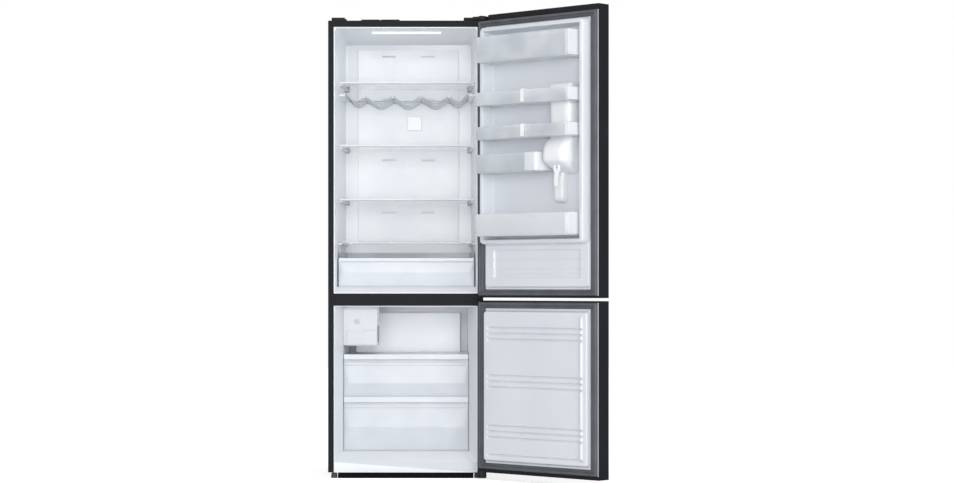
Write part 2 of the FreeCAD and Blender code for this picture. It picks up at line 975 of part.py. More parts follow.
def makeCrisper():
    """The wide crisper drawer, lower at the front than at the sides, with a folded lip to pull."""
    front = crisperFront
    rear = fridgeDepth - shelfBackGap - 4
    floor = fridgeFloor + restGap
    wall = crisperWall
    outer = prismZ(shelfOutline(front, rear, fridgeWallAt, crisperSideGap), floor, crisperSideTop)
    inside = shelfOutline(front + wall, rear - wall, fridgeWallAt, crisperSideGap + wall)
    tray = outer.cut(prismZ(inside, floor + wall, crisperSideTop + 1))
    dip = block(-halfWidth, halfWidth, front - 1, front + crisperDip, crisperFrontTop, crisperSideTop + 1)
    outline = shelfOutline(front - crisperLip, front, fridgeWallAt, crisperSideGap + 1)
    lip = prismZ(outline, crisperFrontTop - crisperLipHeight, crisperFrontTop)
    return fuse([tray.cut(dip), lip])


def wavePoints():
    """The corner points of one wave wire, from the left end to the right end."""
    half = rackHalf
    points = [(-half, waveEnd), (-half + waveEndRun, waveEnd)]
    points.append((-waveEndTrough, waveTrough + waveEndLift))
    for k in range(wavePeaks):
        x = (k - (wavePeaks - 1) / 2) * wavePitch
        points.append((x, wavePeak))
        if k < wavePeaks - 1:
            points.append((x + wavePitch / 2, waveTrough))
    points.append((waveEndTrough, waveTrough + waveEndLift))
    points += [(half - waveEndRun, waveEnd), (half, waveEnd)]
    return points


def roundedPath(points, radii, y):
    """A wire path of straight runs with a tangent arc at each inner corner."""
    places = [Vector(x, y, z) for x, z in points]
    edges = []
    start = places[0]
    for k in range(1, len(places) - 1):
        before = (places[k - 1] - places[k]).normalize()
        after = (places[k + 1] - places[k]).normalize()
        turn = math.pi - before.getAngle(after)
        back = radii[k] * math.tan(turn / 2)
        a = places[k] + before * back
        b = places[k] + after * back
        centre = (before + after).normalize()
        middle = places[k] + centre * (radii[k] / math.cos(turn / 2) - radii[k])
        edges.append(Part.LineSegment(start, a).toShape())
        edges.append(Part.Arc(a, middle, b).toShape())
        start = b
    edges.append(Part.LineSegment(start, places[-1]).toShape())
    return Part.Wire(edges)


def makeWineRack():
    """The wave wire rack: five wave wires in a row, tied by rods from front to back."""
    points = wavePoints()
    ends = [0, waveEndRound, waveEndTroughRound]
    waves = [wavePeakRound] + [waveTroughRound, wavePeakRound] * (wavePeaks - 1)
    radii = ends + waves + ends[::-1]
    front = rackFront
    rear = fridgeDepth - rackBackGap
    wires = []
    for k in range(waveCount):
        y = front + k * (rear - front) / (waveCount - 1)
        path = roundedPath(points, radii, y)
        start = Vector(points[0][0], y, points[0][1])
        circle = Part.Wire([Part.makeCircle(wireRadius, start, Vector(1, 0, 0))])
        wires.append(path.makePipeShell([circle], True, False))
    rods = []
    half = rackHalf
    for side in (-1, 1):
        x = side * (half + 0.6 * wireRadius)
        start = front - 2 * rodOvershoot
        rods.append(rod(wireRadius, (x, start, waveEnd), (x, rear + 2 * rodOvershoot, waveEnd)))
    start = front - rodOvershoot
    end = rear + rodOvershoot
    for k in range(wavePeaks):
        x = (k - (wavePeaks - 1) / 2) * wavePitch
        z = wavePeak - peakDrop(wavePeakRound, points, len(ends)) - 1.5 * wireRadius
        rods.append(rod(wireRadius, (x, start, z), (x, end, z)))
    bar = half - backBarInset
    z = waveEnd - backBarDrop
    rods.append(rod(wireRadius, (-bar, end, z), (bar, end, z)))
    return fuse(rods + wires)


def peakDrop(radius, points, k):
    """How far a rounded peak lies below its sharp corner."""
    before = Vector(points[k - 1][0] - points[k][0], 0, points[k - 1][1] - points[k][1])
    after = Vector(points[k + 1][0] - points[k][0], 0, points[k + 1][1] - points[k][1])
    turn = math.pi - before.getAngle(after)
    return radius / math.cos(turn / 2) - radius


# ---- inside the freezer ----


def makeFreezerShelf(height):
    """A freezer shelf with a deep front lip, lying on the ledges."""
    low = height + restGap
    front = freezerInsideFront + freezerShelfStep
    outline = shelfOutline(front, freezerRear, freezerWallAt, shelfSideGap)
    plate = prismZ(outline, low, low + freezerShelfThick)
    lipFront = freezerInsideFront + freezerLedgeGap
    lipHalf = freezerWallAt(lipFront) - shelfSideGap
    high = low + freezerShelfThick
    lip = block(-lipHalf, lipHalf, lipFront, lipFront + freezerLipThick, high - freezerShelfLip, high)
    return fuse([plate, lip])


def makeFreezerDrawer(low, high, rear):
    """An open-topped drawer that follows the walls, with a folded front rim as its grip."""
    front = freezerInsideFront + drawerStep
    outer = prismZ(shelfOutline(front, rear, freezerWallAt, drawerSideGap), low, high)
    inside = shelfOutline(front + drawerWall, rear - drawerWall, freezerWallAt, drawerSideGap + drawerWall)
    inner = prismZ(inside, low + drawerWall, high + 1)
    rimHalf = freezerWallAt(front) - drawerSideGap - drawerRimInset
    rimTop = high - drawerRimDrop
    rim = block(-rimHalf, rimHalf, front - drawerRimDepth, front + 1, rimTop - drawerRimThick, rimTop)
    return fuse([outer.cut(inner), rim])


def iceAxis():
    """Where the ice tray's shaft runs, as x and z."""
    return iceBoxLeft + iceAxisIn, railBottom - linerWall - restGap - iceAxisDown


def makeIceHousing():
    """The white box of the twist ice maker: the tray's room above, the ice box below."""
    x0, x1 = iceBoxLeft, iceBoxLeft + iceBoxWidth
    y0, y1 = freezerInsideFront, freezerInsideFront + iceBoxDepth
    z1 = railBottom - linerWall - restGap
    z0 = z1 - iceBoxHeight
    wall = iceBoxWall
    box = block(x0, x1, y0, y1, z0, z1)
    room = block(x0 + wall, x1 - wall, y0 + wall, y1 - wall, z0 + wall, z1 - wall)
    mouthFoot = z0 + iceMouthRise
    mouth = block(
        x1 - wall - 1, x1 + 1, y0 + iceMouthInset, y1 - iceMouthInset, mouthFoot, z0 + iceBoxHeight / 2
    )
    x, z = iceAxis()
    bore = rod(iceShaftRadius + pinClearance, (x, y0 - 1, z), (x, y0 + wall + 1, z))
    tail = rod(iceShaftRadius + pinClearance, (x, y1 - wall - 1, z), (x, y1 + 1, z))
    return box.cut(room).cut(mouth).cut(bore).cut(tail)


def makeIceKnob():
    """The round knob with its finger bar."""
    x, z = iceAxis()
    back = freezerInsideFront - restGap
    face = back - iceKnobThick
    disc = rod(iceKnobRadius, (x, face, z), (x, back, z))
    reach = iceKnobRadius - 1
    grip = block(x - iceGripHalf, x + iceGripHalf, face - iceGripHeight, face, z - reach, z + reach)
    hole = rod(iceShaftRadius, (x, freezerInsideFront - iceShaftHold, z), (x, back + 1, z))
    return fuse([disc, grip]).cut(hole)


def makeIceTray():
    """The twisting ice tray: two rows of cups on a shaft that reaches into the knob."""
    x, z = iceAxis()
    y0 = freezerInsideFront
    y1 = y0 + iceBoxDepth
    front = y0 + iceTrayInset
    rear = y1 - iceTrayInset
    body = block(x - iceTrayHalf, x + iceTrayHalf, front, rear, z - iceTrayDepth, z + iceTrayDepth)
    cups = []
    foot = z - iceTrayDepth + iceCupFloor
    for row in range(iceCupRows):
        for column in (-1, 1):
            cupY = y0 + iceCupLead + row * iceCupPitch
            cupX = x + column * iceCupOffset
            left, right = cupX - iceCupHalfX, cupX + iceCupHalfX
            cups.append(
                block(left, right, cupY - iceCupHalfY, cupY + iceCupHalfY, foot, z + iceTrayDepth + 1)
            )
    body = body.cut(Part.makeCompound(cups))
    frontShaft = rod(iceShaftRadius, (x, y0 - iceShaftHold, z), (x, front + 1, z))
    rearShaft = rod(iceShaftRadius, (x, rear - 1, z), (x, y1, z))
    return fuse([body, frontShaft, rearShaft])


def freezerDuctFoot():
    """The height of the duct cover's lower edge, just above the step in the lining."""
    return cabinetBase + machineHeight + machineStep + freezerDuctRise


def makeFreezerDuct():
    """The cover in front of the evaporator: cold air leaves along its top, returns by its foot."""
    front = evaporatorCover
    inside = front + ductWall
    low = freezerDuctFoot()
    high = railBottom - linerWall - freezerDuctDrop
    half = freezerDuctHalf
    panel = block(-half, half, front, freezerDepth - restGap, low, high)
    roomHalf = half - ductWall
    panel = panel.cut(block(-roomHalf, roomHalf, inside, freezerDepth + 1, low + ductWall, high - ductWall))
    slots = []
    outletFront = inside + outletInset
    for column in range(outletCount):
        x = (column - (outletCount - 1) / 2) * outletPitch
        left, right = x - outletHalf, x + outletHalf
        slots.append(
            block(left, right, outletFront, outletFront + outletDepth, high - ductWall - 1, high + 1)
        )
        foot = low + returnRise
        slots.append(block(left, right, front - 1, inside + 1, foot, foot + returnHeight))
    panel = panel.cut(Part.makeCompound(slots))
    hub = rod(fanSeatRadius, (fanX, inside - 1, fanZ), (fanX, inside + fanSeat, fanZ))
    pin = rod(fanPinRadius, (fanX, inside, fanZ), (fanX, inside + fanPinReach, fanZ))
    return fuse([panel, hub, pin])


def makeFan():
    """The small axial fan behind the duct cover, turning on the hub's pin."""
    front = evaporatorCover + ductWall + fanSeat + slideGap
    rear = front + fanThick
    middle = (front + rear) / 2
    pieces = [rod(fanHubRadius, (fanX, front, fanZ), (fanX, rear, fanZ))]
    bladeHalf = fanBladeThick / 2
    for k in range(fanBlades):
        blade = block(fanHubRadius - fanBladeRoot, fanReach, front + 2, rear - 2, -bladeHalf, bladeHalf)
        blade.rotate(Vector(0, middle, 0), Vector(1, 0, 0), fanBladePitch)
        blade.rotate(Vector(0, 0, 0), Vector(0, 1, 0), 360 / fanBlades * k)
        blade.translate(Vector(fanX, 0, fanZ))
        pieces.append(blade)
    bore = rod(fanPinRadius + pinClearance, (fanX, front - 1, fanZ), (fanX, rear + 1, fanZ))
    return fuse(pieces).cut(bore)


def makeEvaporator():
    """The evaporator behind the lower half of the duct cover: fins on a tube that runs to and fro."""
    front = evaporatorCover + coilLead
    rear = freezerDepth - coilRearGap
    middle = (front + rear) / 2
    low = freezerDuctFoot() + coilRise
    high = low + coilHeight
    firstFin = -finPitch * (finCount - 1) / 2
    pieces = []
    for k in range(finCount):
        x = firstFin + k * finPitch
        reach = freezerDepth if k in (0, finCount - 1) else rear
        pieces.append(block(x - finThick / 2, x + finThick / 2, front, reach, low, high))
    tubeHalf = coilTubeReach - firstFin
    for k in range(tubeRuns):
        z = low + tubeRise + k * tubePitch
        pieces.append(rod(tubeRadius, (-tubeHalf, middle, z), (tubeHalf, middle, z)))
    bend = tubePitch / 2
    for k in range(tubeRuns - 1):
        side = 1 if k % 2 == 0 else -1
        z = low + tubeRise + k * tubePitch
        ring = Part.makeTorus(bend, tubeRadius, Vector(side * tubeHalf, middle, z + bend), Vector(0, 1, 0))
        room = block(-tubePitch, tubePitch, front, rear, z - bend, z + bend * 3)
        room.translate(Vector(side * (tubeHalf + tubePitch), 0, 0))
        pieces.append(ring.common(room))
    return fuse(pieces)


# ---- doors, drawn shut ----


def doorSkin(low, high, pocket):
    """The bent steel front of a door: the face and its two side returns."""
    outer = block(-halfWidth, halfWidth, doorFront, doorBack, low, high)
    inside = block(
        -halfWidth + sheet, halfWidth - sheet, doorFront + sheet, doorBack + 1, low - 1, high + 1
    )
    skin = outer.cut(inside)
    if pocket:
        skin = skin.cut(hingePocket(high))
    return skin


def hingePocket(high):
    """The notch at the top corner of the upper door that the top hinge reaches into."""
    low = upperGasketTop + pocketFloor
    return block(
        halfWidth - pocketWidth, halfWidth + 1, doorBack - pocketDepth, doorBack + 1, low, high + 1
    )


def doorCap(low, high, socketLow, socketHigh, pinLow, pinHigh):
    """An end cap between the skin's sides, with the socket block that takes a hinge pin."""
    side = halfWidth - sheet
    strip = block(-side, side, doorFront + sheet, doorBack, low, high)
    socket = block(
        side - socketWidth, side, doorFront + sheet, doorBack - doorLinerWall, socketLow, socketHigh
    )
    hole = Part.makeCylinder(pinRadius + pinClearance, pinHigh - pinLow, Vector(pinX, pinY, pinLow))
    return strip, socket, hole


def upperCaps():
    top, socket, hole = doorCap(
        upperGasketTop, upperDoorTop, upperGasketTop - socketDrop,
        upperGasketTop, upperGasketTop - socketDrop + 2, upperDoorTop + 1
    )
    side = halfWidth - sheet
    room = block(
        -side + capWall, halfWidth - pocketWidth - capWall, doorFront + sheet + capWall, doorBack - capWall,
        upperGasketTop - 1, upperDoorTop - capWall,
    )
    topCap = fuse([top.cut(hingePocket(upperDoorTop)).cut(room), socket]).cut(hole)
    bottom, socket, hole = doorCap(
        upperDoorBottom, upperGasketBottom, upperGasketBottom,
        upperGasketBottom + socketDrop, upperDoorBottom - 1, upperDoorBottom + pinReach + 2
    )
    bottomCap = fuse([bottom, socket]).cut(hole)
    return topCap, bottomCap


def lowerCaps():
    top, socket, hole = doorCap(
        lowerGasketTop, lowerDoorTop, lowerGasketTop - socketDrop,
        lowerGasketTop, lowerDoorTop - pinReach - 2, lowerDoorTop + 1
    )
    topCap = fuse([top, socket]).cut(hole)
    bottom, socket, hole = doorCap(
        lowerDoorBottom, lowerGasketBottom, lowerGasketBottom,
        lowerGasketBottom + socketDrop, lowerDoorBottom - 1, lowerDoorBottom + pinReach + 2
    )
    bottomCap = fuse([bottom, socket]).cut(hole)
    return topCap, bottomCap


def upperForm(inset):
    """Everything behind the upper door's inner face, drawn in by an inset."""
    side = halfWidth - sheet
    high = upperGasketTop
    low = upperGasketBottom
    plate = block(-side, side, doorFront + sheet, doorBack - inset, low, high)
    rim = upperGasketTop - gasketWidth - dykeTopDrop
    ring = frustum(
        doorBack - inset - 1, dykeHalf - inset, dykeBottom + inset, rim - inset,
        dykeCrest - inset, dykeHalf - dykeDraft - inset,
        dykeBottom + dykeDraft + inset, rim - dykeDraft - inset,
    )
    foot = upperGasketBottom + gasketWidth + padFootRise
    pad = frustum(
        doorBack - inset - 1, dykeHalf - inset, foot + inset, dykeBottom + 1,
        padPlane - inset, dykeHalf - dykeDraft - inset, foot + dykeDraft + inset, dykeBottom + 1,
    )
    hollowHalf = dykeHalf - dykeWidth + inset
    hollowFoot = dykeBottom + dykeWidth - inset
    hollowHead = rim - dykeWidth + inset
    hollow = frustum(
        recessPlane - inset, hollowHalf - recessDraft, hollowFoot + recessDraft, hollowHead - recessDraft,
        dykeCrest + 1, hollowHalf, hollowFoot, hollowHead,
    )
    recessFoot = foot + padMargin - inset
    recessHead = dykeBottom - padRecessRise + inset
    recessHalf = hollowHalf - padMargin
    padHollow = frustum(
        padRecess - inset, recessHalf, recessFoot + padRecessDraft, recessHead - padRecessDraft,
        padPlane + 1, recessHalf + padRecessSideDraft, recessFoot, recessHead,
    )
    return fuse([plate, ring, pad]).cut(hollow).cut(padHollow)


def lowerForm(inset):
    """Everything behind the lower door's inner face, drawn in by an inset, with its ribs."""
    side = halfWidth - sheet
    plate = block(-side, side, doorFront + sheet, doorBack - inset, lowerGasketBottom, lowerGasketTop)
    low = lowerGasketBottom + gasketWidth + padFootRise
    high = lowerGasketTop - gasketWidth - padFootRise
    pad = frustum(
        doorBack - inset - 1, dykeHalf - inset, low + inset, high - inset,
        lowerPadPlane - inset, dykeHalf - dykeDraft - inset,
        low + dykeDraft + inset, high - dykeDraft - inset,
    )
    body = fuse([plate, pad])
    grooves = []
    for z in ribHeights():
        half = lowerRibHalf + inset
        reach = ribWidth / 2 + inset
        grooves.append(
            block(-half, half, lowerPadPlane - ribDepth - inset, lowerPadPlane + 1, z - reach, z + reach)
        )
    return body.cut(Part.makeCompound(grooves))


def ribHeights():
    """The heights of the grooves across the lower door: three groups of three and one below."""
    heights = [bottomRib]
    for middle in ribGroups:
        heights += [middle - ribPitch, middle, middle + ribPitch]
    return heights


def socketRooms(caps):
    """The room that the end caps take up inside a door."""
    side = halfWidth - sheet
    rooms = []
    for cap in caps:
        box = cap.BoundBox
        rooms.append(
            block(side - socketWidth, side, doorFront + sheet, doorBack - doorLinerWall, box.ZMin, box.ZMax)
        )
    return rooms


def doorLinerAndFoam(form, caps):
    """The thin formed lining of a door and the insulation that fills the room behind it."""
    outer = form(0.0)
    inner = form(doorLinerWall)
    box = outer.BoundBox
    lining = outer.cut(inner)
    foam = inner
    for room in socketRooms(caps):
        foam = foam.cut(room)
    keep = block(-box.XMax, box.XMax, doorFront, box.YMax, box.ZMin, box.ZMax)
    return lining.common(keep), foam.common(keep)


def makeGasket(low, high):
    """The magnetic seal: a hollow frame that stops just short of the cabinet's front."""
    half = halfWidth - gasketInset
    y0, y1 = doorBack, -gasketRelief
    frame = block(-half, half, y0, y1, low, high)
    frame = frame.cut(
        block(-half + gasketWidth, half - gasketWidth, y0 - 1,
        y1 + 1, low + gasketWidth, high - gasketWidth)
    )
    edge = gasketGrooveInset
    bed = y1 - gasketGrooveDepth
    groove = block(-half + edge, half - edge, bed, y1 + 1, low + edge, high - edge)
    edge += gasketGrooveWidth
    groove = groove.cut(block(-half + edge, half - edge, bed - 1, y1 + 2, low + edge, high - edge))
    return frame.cut(groove)


def uprightEdges(solid, beyond):
    """The upright edges of a block that lie further back than a given plane."""
    upright = [e for e in solid.Edges if abs(e.tangentAt(e.FirstParameter).z) > 0.9]
    return [e for e in upright if e.CenterOfMass.y > beyond]


def makeBin(k):
    """One open-topped door bin, with thicker end caps and a cut for the dispenser behind it."""
    low, high = binLevels[k]
    left = shortBinEnd if k == 3 else -binHalfWidth
    right = binHalfWidth
    back = recessPlane + restGap
    outer = block(left, right, back, binFront, low, high)
    outer = outer.makeFillet(binCorner, uprightEdges(outer, binFront - 1))
    inside = binFront - binWall
    inner = block(left + binEndCap, right - binEndCap, back + binWall, inside, low + binWall, high + 1)
    inner = inner.makeFillet(binCorner - binWall, uprightEdges(inner, inside - 1))
    tray = outer.cut(inner)
    if k in (1, 2):
        gap = dispenserGap
        room = block(
            dispenserLeft - gap, dispenserRight + gap, back - 1, dispenserFront + gap, low - 1, high + 1
        )
        reach = gap + binWall
        wall = block(dispenserLeft - reach, dispenserRight + reach, back, dispenserFront + reach, low, high)
        tray = fuse([tray, wall]).cut(room)
    return tray


def makeBottleHolder(k):
    """The small sliding bottle stop that hooks over the front wall of a bin."""
    low, high = binLevels[k]
    left, right = holderX - holderWidth / 2, holderX + holderWidth / 2
    outerFace = binFront + restGap + holderWall
    innerFace = binFront - binWall - restGap - holderWall
    top = high + holderRise
    outside = block(left, right, outerFace - holderWall, outerFace, low + holderFoot, top)
    bridge = block(left, right, innerFace, outerFace, high + restGap, top)
    inside = block(left, right, innerFace, innerFace + holderWall, high - holderHook, top)
    half = holderFingerWidth / 2
    tip = binFront - holderFingerReach
    finger = block(holderX - half, holderX + half, tip, innerFace + 1, high - holderHook, top)
    return fuse([outside, bridge, inside, finger])


def dispenserHeadOutline(wall, rear, chin):
    """The side view of the dispenser's head, drawn in by a wall and raised by the chin's wall."""
    front = dispenserHeadFront - wall
    chinFoot = dispenserBottom - chinDrop
    slope = headSlope + wall
    top = dispenserHeadTop
    if wall:
        top += 1
    return [
        (rear, chinFoot + chin),
        (dispenserFront - wall, chinFoot + chinRise + chin),
        (front, chinFoot + chinRise + chinRun + chin),
        (front, dispenserHeadTop - slope),
        (dispenserFront - wall, top),
        (rear, top),
    ]


def makeDispenser():
    """The white water dispenser: a tall back box, a deep head with a slanted chin, and a column."""
    back = recessPlane + restGap
    left, right = dispenserLeft, dispenserRight
    wall = dispenserWall
    upper = block(left, right, back, dispenserFront, dispenserHeadTop, dispenserTop)
    upperRoom = block(
        left + wall, right - wall, back - 1,
        dispenserFront - wall, dispenserHeadTop - 1, dispenserTop - wall
    )
    head = prismX(dispenserHeadOutline(0, back, 0), left, right)
    headRoom = prismX(dispenserHeadOutline(headWall, back - 1, chinWall), left + wall, right - wall)
    columnRight = right - columnInset
    columnTop = dispenserBottom - columnTopDrop
    column = block(columnRight - columnWidth, columnRight, back, columnFront, columnFoot, columnTop)
    pieces = [fuse([upper, head, column]).cut(upperRoom).cut(headRoom)]
    low = dispenserBottom - leverEarLow
    high = dispenserBottom + leverEarHigh
    for side in (-1, 1):
        near = leverX + side * leverEarGap
        far = near + side * leverEarThick
        pieces.append(
            block(min(near, far), max(near, far), leverY - leverEarHalf, leverY + leverEarHalf, low, high)
        )
    reach = leverEarGap + leverEarThick
    z = dispenserBottom - leverDrop
    pieces.append(rod(leverPinRadius, (leverX - reach, leverY, z), (leverX + reach, leverY, z)))
    return fuse(pieces)


def makeLever():
    """The small push lever under the dispenser's chin."""
    z = dispenserBottom - leverDrop
    left, right = leverX - leverHalf, leverX + leverHalf
    eye = rod(leverEyeRadius, (left, leverY, z), (right, leverY, z))
    bend = z - leverBend
    foot = z - leverLength
    out = leverY + leverSwing
    tip = out - leverTipThick + 1
    paddle = prismX(
        [
            (leverY - leverThick / 2, z),
            (leverY + leverThick / 2, z),
            (out, bend),
            (tip, foot),
            (tip - leverTipThick, foot),
            (out - leverThick, bend),
        ],
        left, right,
    )
    bore = rod(leverPinRadius + pinClearance, (left - 1, leverY, z), (right + 1, leverY, z))
    return fuse([eye, paddle]).cut(bore)


# ---- the set of pieces ----

export(makeShell(), "cabinet_shell")
export(makeRearPanel(), "rear_panel")
export(makeMidRail(), "mid_rail")
export(makeFoam(), "cabinet_foam")
export(makeFridgeLiner(), "fridge_liner")
export(makeFreezerLiner(), "freezer_liner")
export(makeLampLens(), "lamp_lens")
export(makeFridgeDuct(), "fridge_duct_panel")
export(makeFilterCover(), "filter_cover")
export(makeBasePlate(), "base_plate")
export(makePlinth(), "plinth")
export(makeFoot(-1), "front_foot_left")
export(makeFoot(1), "front_foot_right")
exportGroup(makeRollers(), "rear_rollers")
export(makeCompressor(), "compressor")
export(makeMachineCover(), "machine_cover")
export(makeInlet(), "mains_inlet")
exportGroup(makeTopCovers(), "top_covers")
export(makeTopHinge(), "top_hinge")
export(makeHingeCover(), "hinge_cover")
export(makeMiddleHinge(), "middle_hinge")
export(makeLowerHinge(), "lower_hinge")

for number, height in enumerate(shelfHeights, 1):
    glass, trim = makeShelf(height)
    export(glass, "shelf_glass_" + str(number))
    export(trim, "shelf_trim_" + str(number))
export(makeCrisperCover(), "crisper_cover")
export(makeCrisper(), "crisper_drawer")
export(makeWineRack(), "wine_rack")

export(makeIceHousing(), "ice_maker_housing")
export(makeIceKnob(), "ice_knob")
export(makeIceTray(), "ice_tray")
export(makeFreezerDuct(), "freezer_duct_panel")
export(makeEvaporator(), "evaporator")
export(makeFan(), "fan_rotor")
export(makeFreezerShelf(freezerShelfUpper), "freezer_shelf_upper")
export(makeFreezerShelf(freezerShelfLower), "freezer_shelf_lower")
drawerRest = freezerShelfLower + freezerShelfThick + 2 * restGap
export(makeFreezerDrawer(drawerRest, upperDrawerTop, freezerRear - 6), "freezer_drawer_upper")
export(makeFreezerDrawer(freezerFloor + restGap, lowerDrawerTop, lowerDrawerRear), "freezer_drawer_lower")

topCap, bottomCap = upperCaps()
lining, foam = doorLinerAndFoam(upperForm, (topCap, bottomCap))
export(openDoor(doorSkin(upperDoorBottom, upperDoorTop, True)), "upper_door_skin")
exportGroup([openDoor(topCap), openDoor(bottomCap)], "upper_door_caps")
export(openDoor(lining), "upper_door_liner")
export(openDoor(foam), "upper_door_foam")
export(openDoor(makeGasket(upperGasketBottom, upperGasketTop)), "upper_door_gasket")

topCap, bottomCap = lowerCaps()
lining, foam = doorLinerAndFoam(lowerForm, (topCap, bottomCap))
export(openDoor(doorSkin(lowerDoorBottom, lowerDoorTop, False)), "lower_door_skin")
exportGroup([openDoor(topCap), openDoor(bottomCap)], "lower_door_caps")
export(openDoor(lining), "lower_door_liner")
export(openDoor(foam), "lower_door_foam")
export(openDoor(makeGasket(lowerGasketBottom, lowerGasketTop)), "lower_door_gasket")

for k in range(len(binLevels)):
    export(openDoor(makeBin(k)), "door_bin_" + str(k + 1))
export(openDoor(makeBottleHolder(1)), "bottle_holder_upper")
export(openDoor(makeBottleHolder(2)), "bottle_holder_lower")
export(openDoor(makeDispenser()), "dispenser_housing")
export(openDoor(makeLever()), "dispenser_lever")
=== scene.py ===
import bpy
import bmesh
import json
import math
from mathutils import Matrix, Vector


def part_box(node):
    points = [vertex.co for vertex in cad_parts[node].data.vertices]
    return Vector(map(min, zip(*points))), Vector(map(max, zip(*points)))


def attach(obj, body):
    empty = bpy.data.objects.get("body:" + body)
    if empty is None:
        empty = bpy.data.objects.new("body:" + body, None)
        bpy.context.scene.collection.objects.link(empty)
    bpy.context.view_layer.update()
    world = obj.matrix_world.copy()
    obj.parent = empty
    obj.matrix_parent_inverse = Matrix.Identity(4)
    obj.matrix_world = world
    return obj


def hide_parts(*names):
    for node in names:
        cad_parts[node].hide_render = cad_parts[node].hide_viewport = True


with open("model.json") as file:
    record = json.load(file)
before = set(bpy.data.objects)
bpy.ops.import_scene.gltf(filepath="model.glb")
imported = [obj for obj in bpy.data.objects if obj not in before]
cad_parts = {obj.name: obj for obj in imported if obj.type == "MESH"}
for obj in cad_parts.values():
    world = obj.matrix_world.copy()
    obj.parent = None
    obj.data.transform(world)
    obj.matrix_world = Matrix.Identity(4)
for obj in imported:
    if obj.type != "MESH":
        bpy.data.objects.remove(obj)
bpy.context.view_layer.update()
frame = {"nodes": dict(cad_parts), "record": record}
print("frame loaded")

mm = 0.001

# the doors are drawn shut, then turned about the hinge pins to where they stand
hingePins = {"x": 0.293, "y": -0.021, "angle": 137.0}
pinAt = Vector((hingePins["x"], hingePins["y"], 0.0))
doorOpen = (Matrix.Translation(pinAt)
            @ Matrix.Rotation(math.radians(hingePins["angle"]), 4, "Z")
            @ Matrix.Translation(-pinAt))


def linearColour(hexText):
    values = [int(hexText[i:i + 2], 16) / 255 for i in (1, 3, 5)]
    linear = [v / 12.92 if v <= 0.04045 else ((v + 0.055) / 1.055) ** 2.4 for v in values]
    return (*linear, 1.0)


def addNode(tree, kind, settings=None, links=None):
    # settings: node properties, or socket values by name; links: socket name to an output
    node = tree.nodes.new(kind)
    for key, value in (settings or {}).items():
        if key in node.inputs:
            node.inputs[key].default_value = value
        else:
            setattr(node, key, value)
    for key, output in (links or {}).items():
        tree.links.new(output, node.inputs[key])
    return node


def startMaterial(name, **shaderValues):
    material = bpy.data.materials.new(name)
    material.use_nodes = True
    tree = material.node_tree
    shader = tree.nodes["Principled BSDF"]
    for key, value in shaderValues.items():
        shader.inputs[key.replace("_", " ")].default_value = value
    return material, tree, shader


def surfaceGrain(tree, shader, size, depth, detail=2.0, roughFrom=None, roughTo=None):
    # size is the spacing of the grain in metres; depth is how far it lifts the surface
    coords = addNode(tree, "ShaderNodeTexCoord")
    noise = addNode(tree, "ShaderNodeTexNoise", {"Scale": 1.0 / size, "Detail": detail, "Roughness": 0.55},
                    {"Vector": coords.outputs["Object"]})
    bump = addNode(tree, "ShaderNodeBump", {"Strength": 1.0, "Distance": depth},
                   {"Height": noise.outputs["Fac"]})
    tree.links.new(bump.outputs["Normal"], shader.inputs["Normal"])
    if roughFrom is not None:
        spread = addNode(tree, "ShaderNodeMapRange", {"To Min": roughFrom, "To Max": roughTo},
                         {"Value": noise.outputs["Fac"]})
        tree.links.new(spread.outputs["Result"], shader.inputs["Roughness"])
    return coords


def colourDrift(tree, shader, coords, size, first, second):
    # slow change between two near colours, as any real moulding or sheet has
    noise = addNode(tree, "ShaderNodeTexNoise", {"Scale": 1.0 / size, "Detail": 1.0},
                    {"Vector": coords.outputs["Object"]})
    ramp = addNode(tree, "ShaderNodeValToRGB", {}, {"Fac": noise.outputs["Fac"]})
    ramp.color_ramp.elements[0].position = 0.3
    ramp.color_ramp.elements[1].position = 0.7
    ramp.color_ramp.elements[0].color = linearColour(first)
    ramp.color_ramp.elements[1].color = linearColour(second)
    tree.links.new(ramp.outputs["Color"], shader.inputs["Base Color"])


def coatedSteel():
    # pre-painted steel sheet, near black with a blue cast: a fine orange peel breaks up its satin shine
    material, tree, shader = startMaterial("prePaintedSteelSheet", IOR=1.5, Specular_IOR_Level=0.14)
    coords = surfaceGrain(tree, shader, 0.9 * mm, 0.02 * mm, 3.0, 0.46, 0.56)
    colourDrift(tree, shader, coords, 160 * mm, "#15171b", "#191c20")
    return material


def galvanisedSteel():
    # hot-dip zinc-coated sheet: dull grey with faint flat spangles about 6 mm across
    material, tree, shader = startMaterial("galvanisedSteelSheet", Metallic=0.85)
    coords = addNode(tree, "ShaderNodeTexCoord")
    spangle = addNode(tree, "ShaderNodeTexVoronoi", {"Scale": 1.0 / (6 * mm)},
                      {"Vector": coords.outputs["Object"]})
    tone = addNode(tree, "ShaderNodeSeparateColor", {}, {"Color": spangle.outputs["Color"]})
    spread = addNode(tree, "ShaderNodeMapRange", {"To Min": 0.38, "To Max": 0.52},
                     {"Value": tone.outputs["Red"]})
    tree.links.new(spread.outputs["Result"], shader.inputs["Roughness"])
    ramp = addNode(tree, "ShaderNodeValToRGB", {}, {"Fac": tone.outputs["Green"]})
    ramp.color_ramp.elements[0].color = linearColour("#a9adaf")
    ramp.color_ramp.elements[1].color = linearColour("#bcbfc1")
    tree.links.new(ramp.outputs["Color"], shader.inputs["Base Color"])
    return material


def formedPolystyrene(name, first, second, roughness=0.3):
    # white high-impact polystyrene, vacuum formed: glossy, with a very soft unevenness from the draw
    material, tree, shader = startMaterial(name, Roughness=roughness, IOR=1.59)
    coords = surfaceGrain(tree, shader, 14 * mm, 0.05 * mm, 1.0, roughness - 0.05, roughness + 0.07)
    colourDrift(tree, shader, coords, 220 * mm, first, second)
    return material


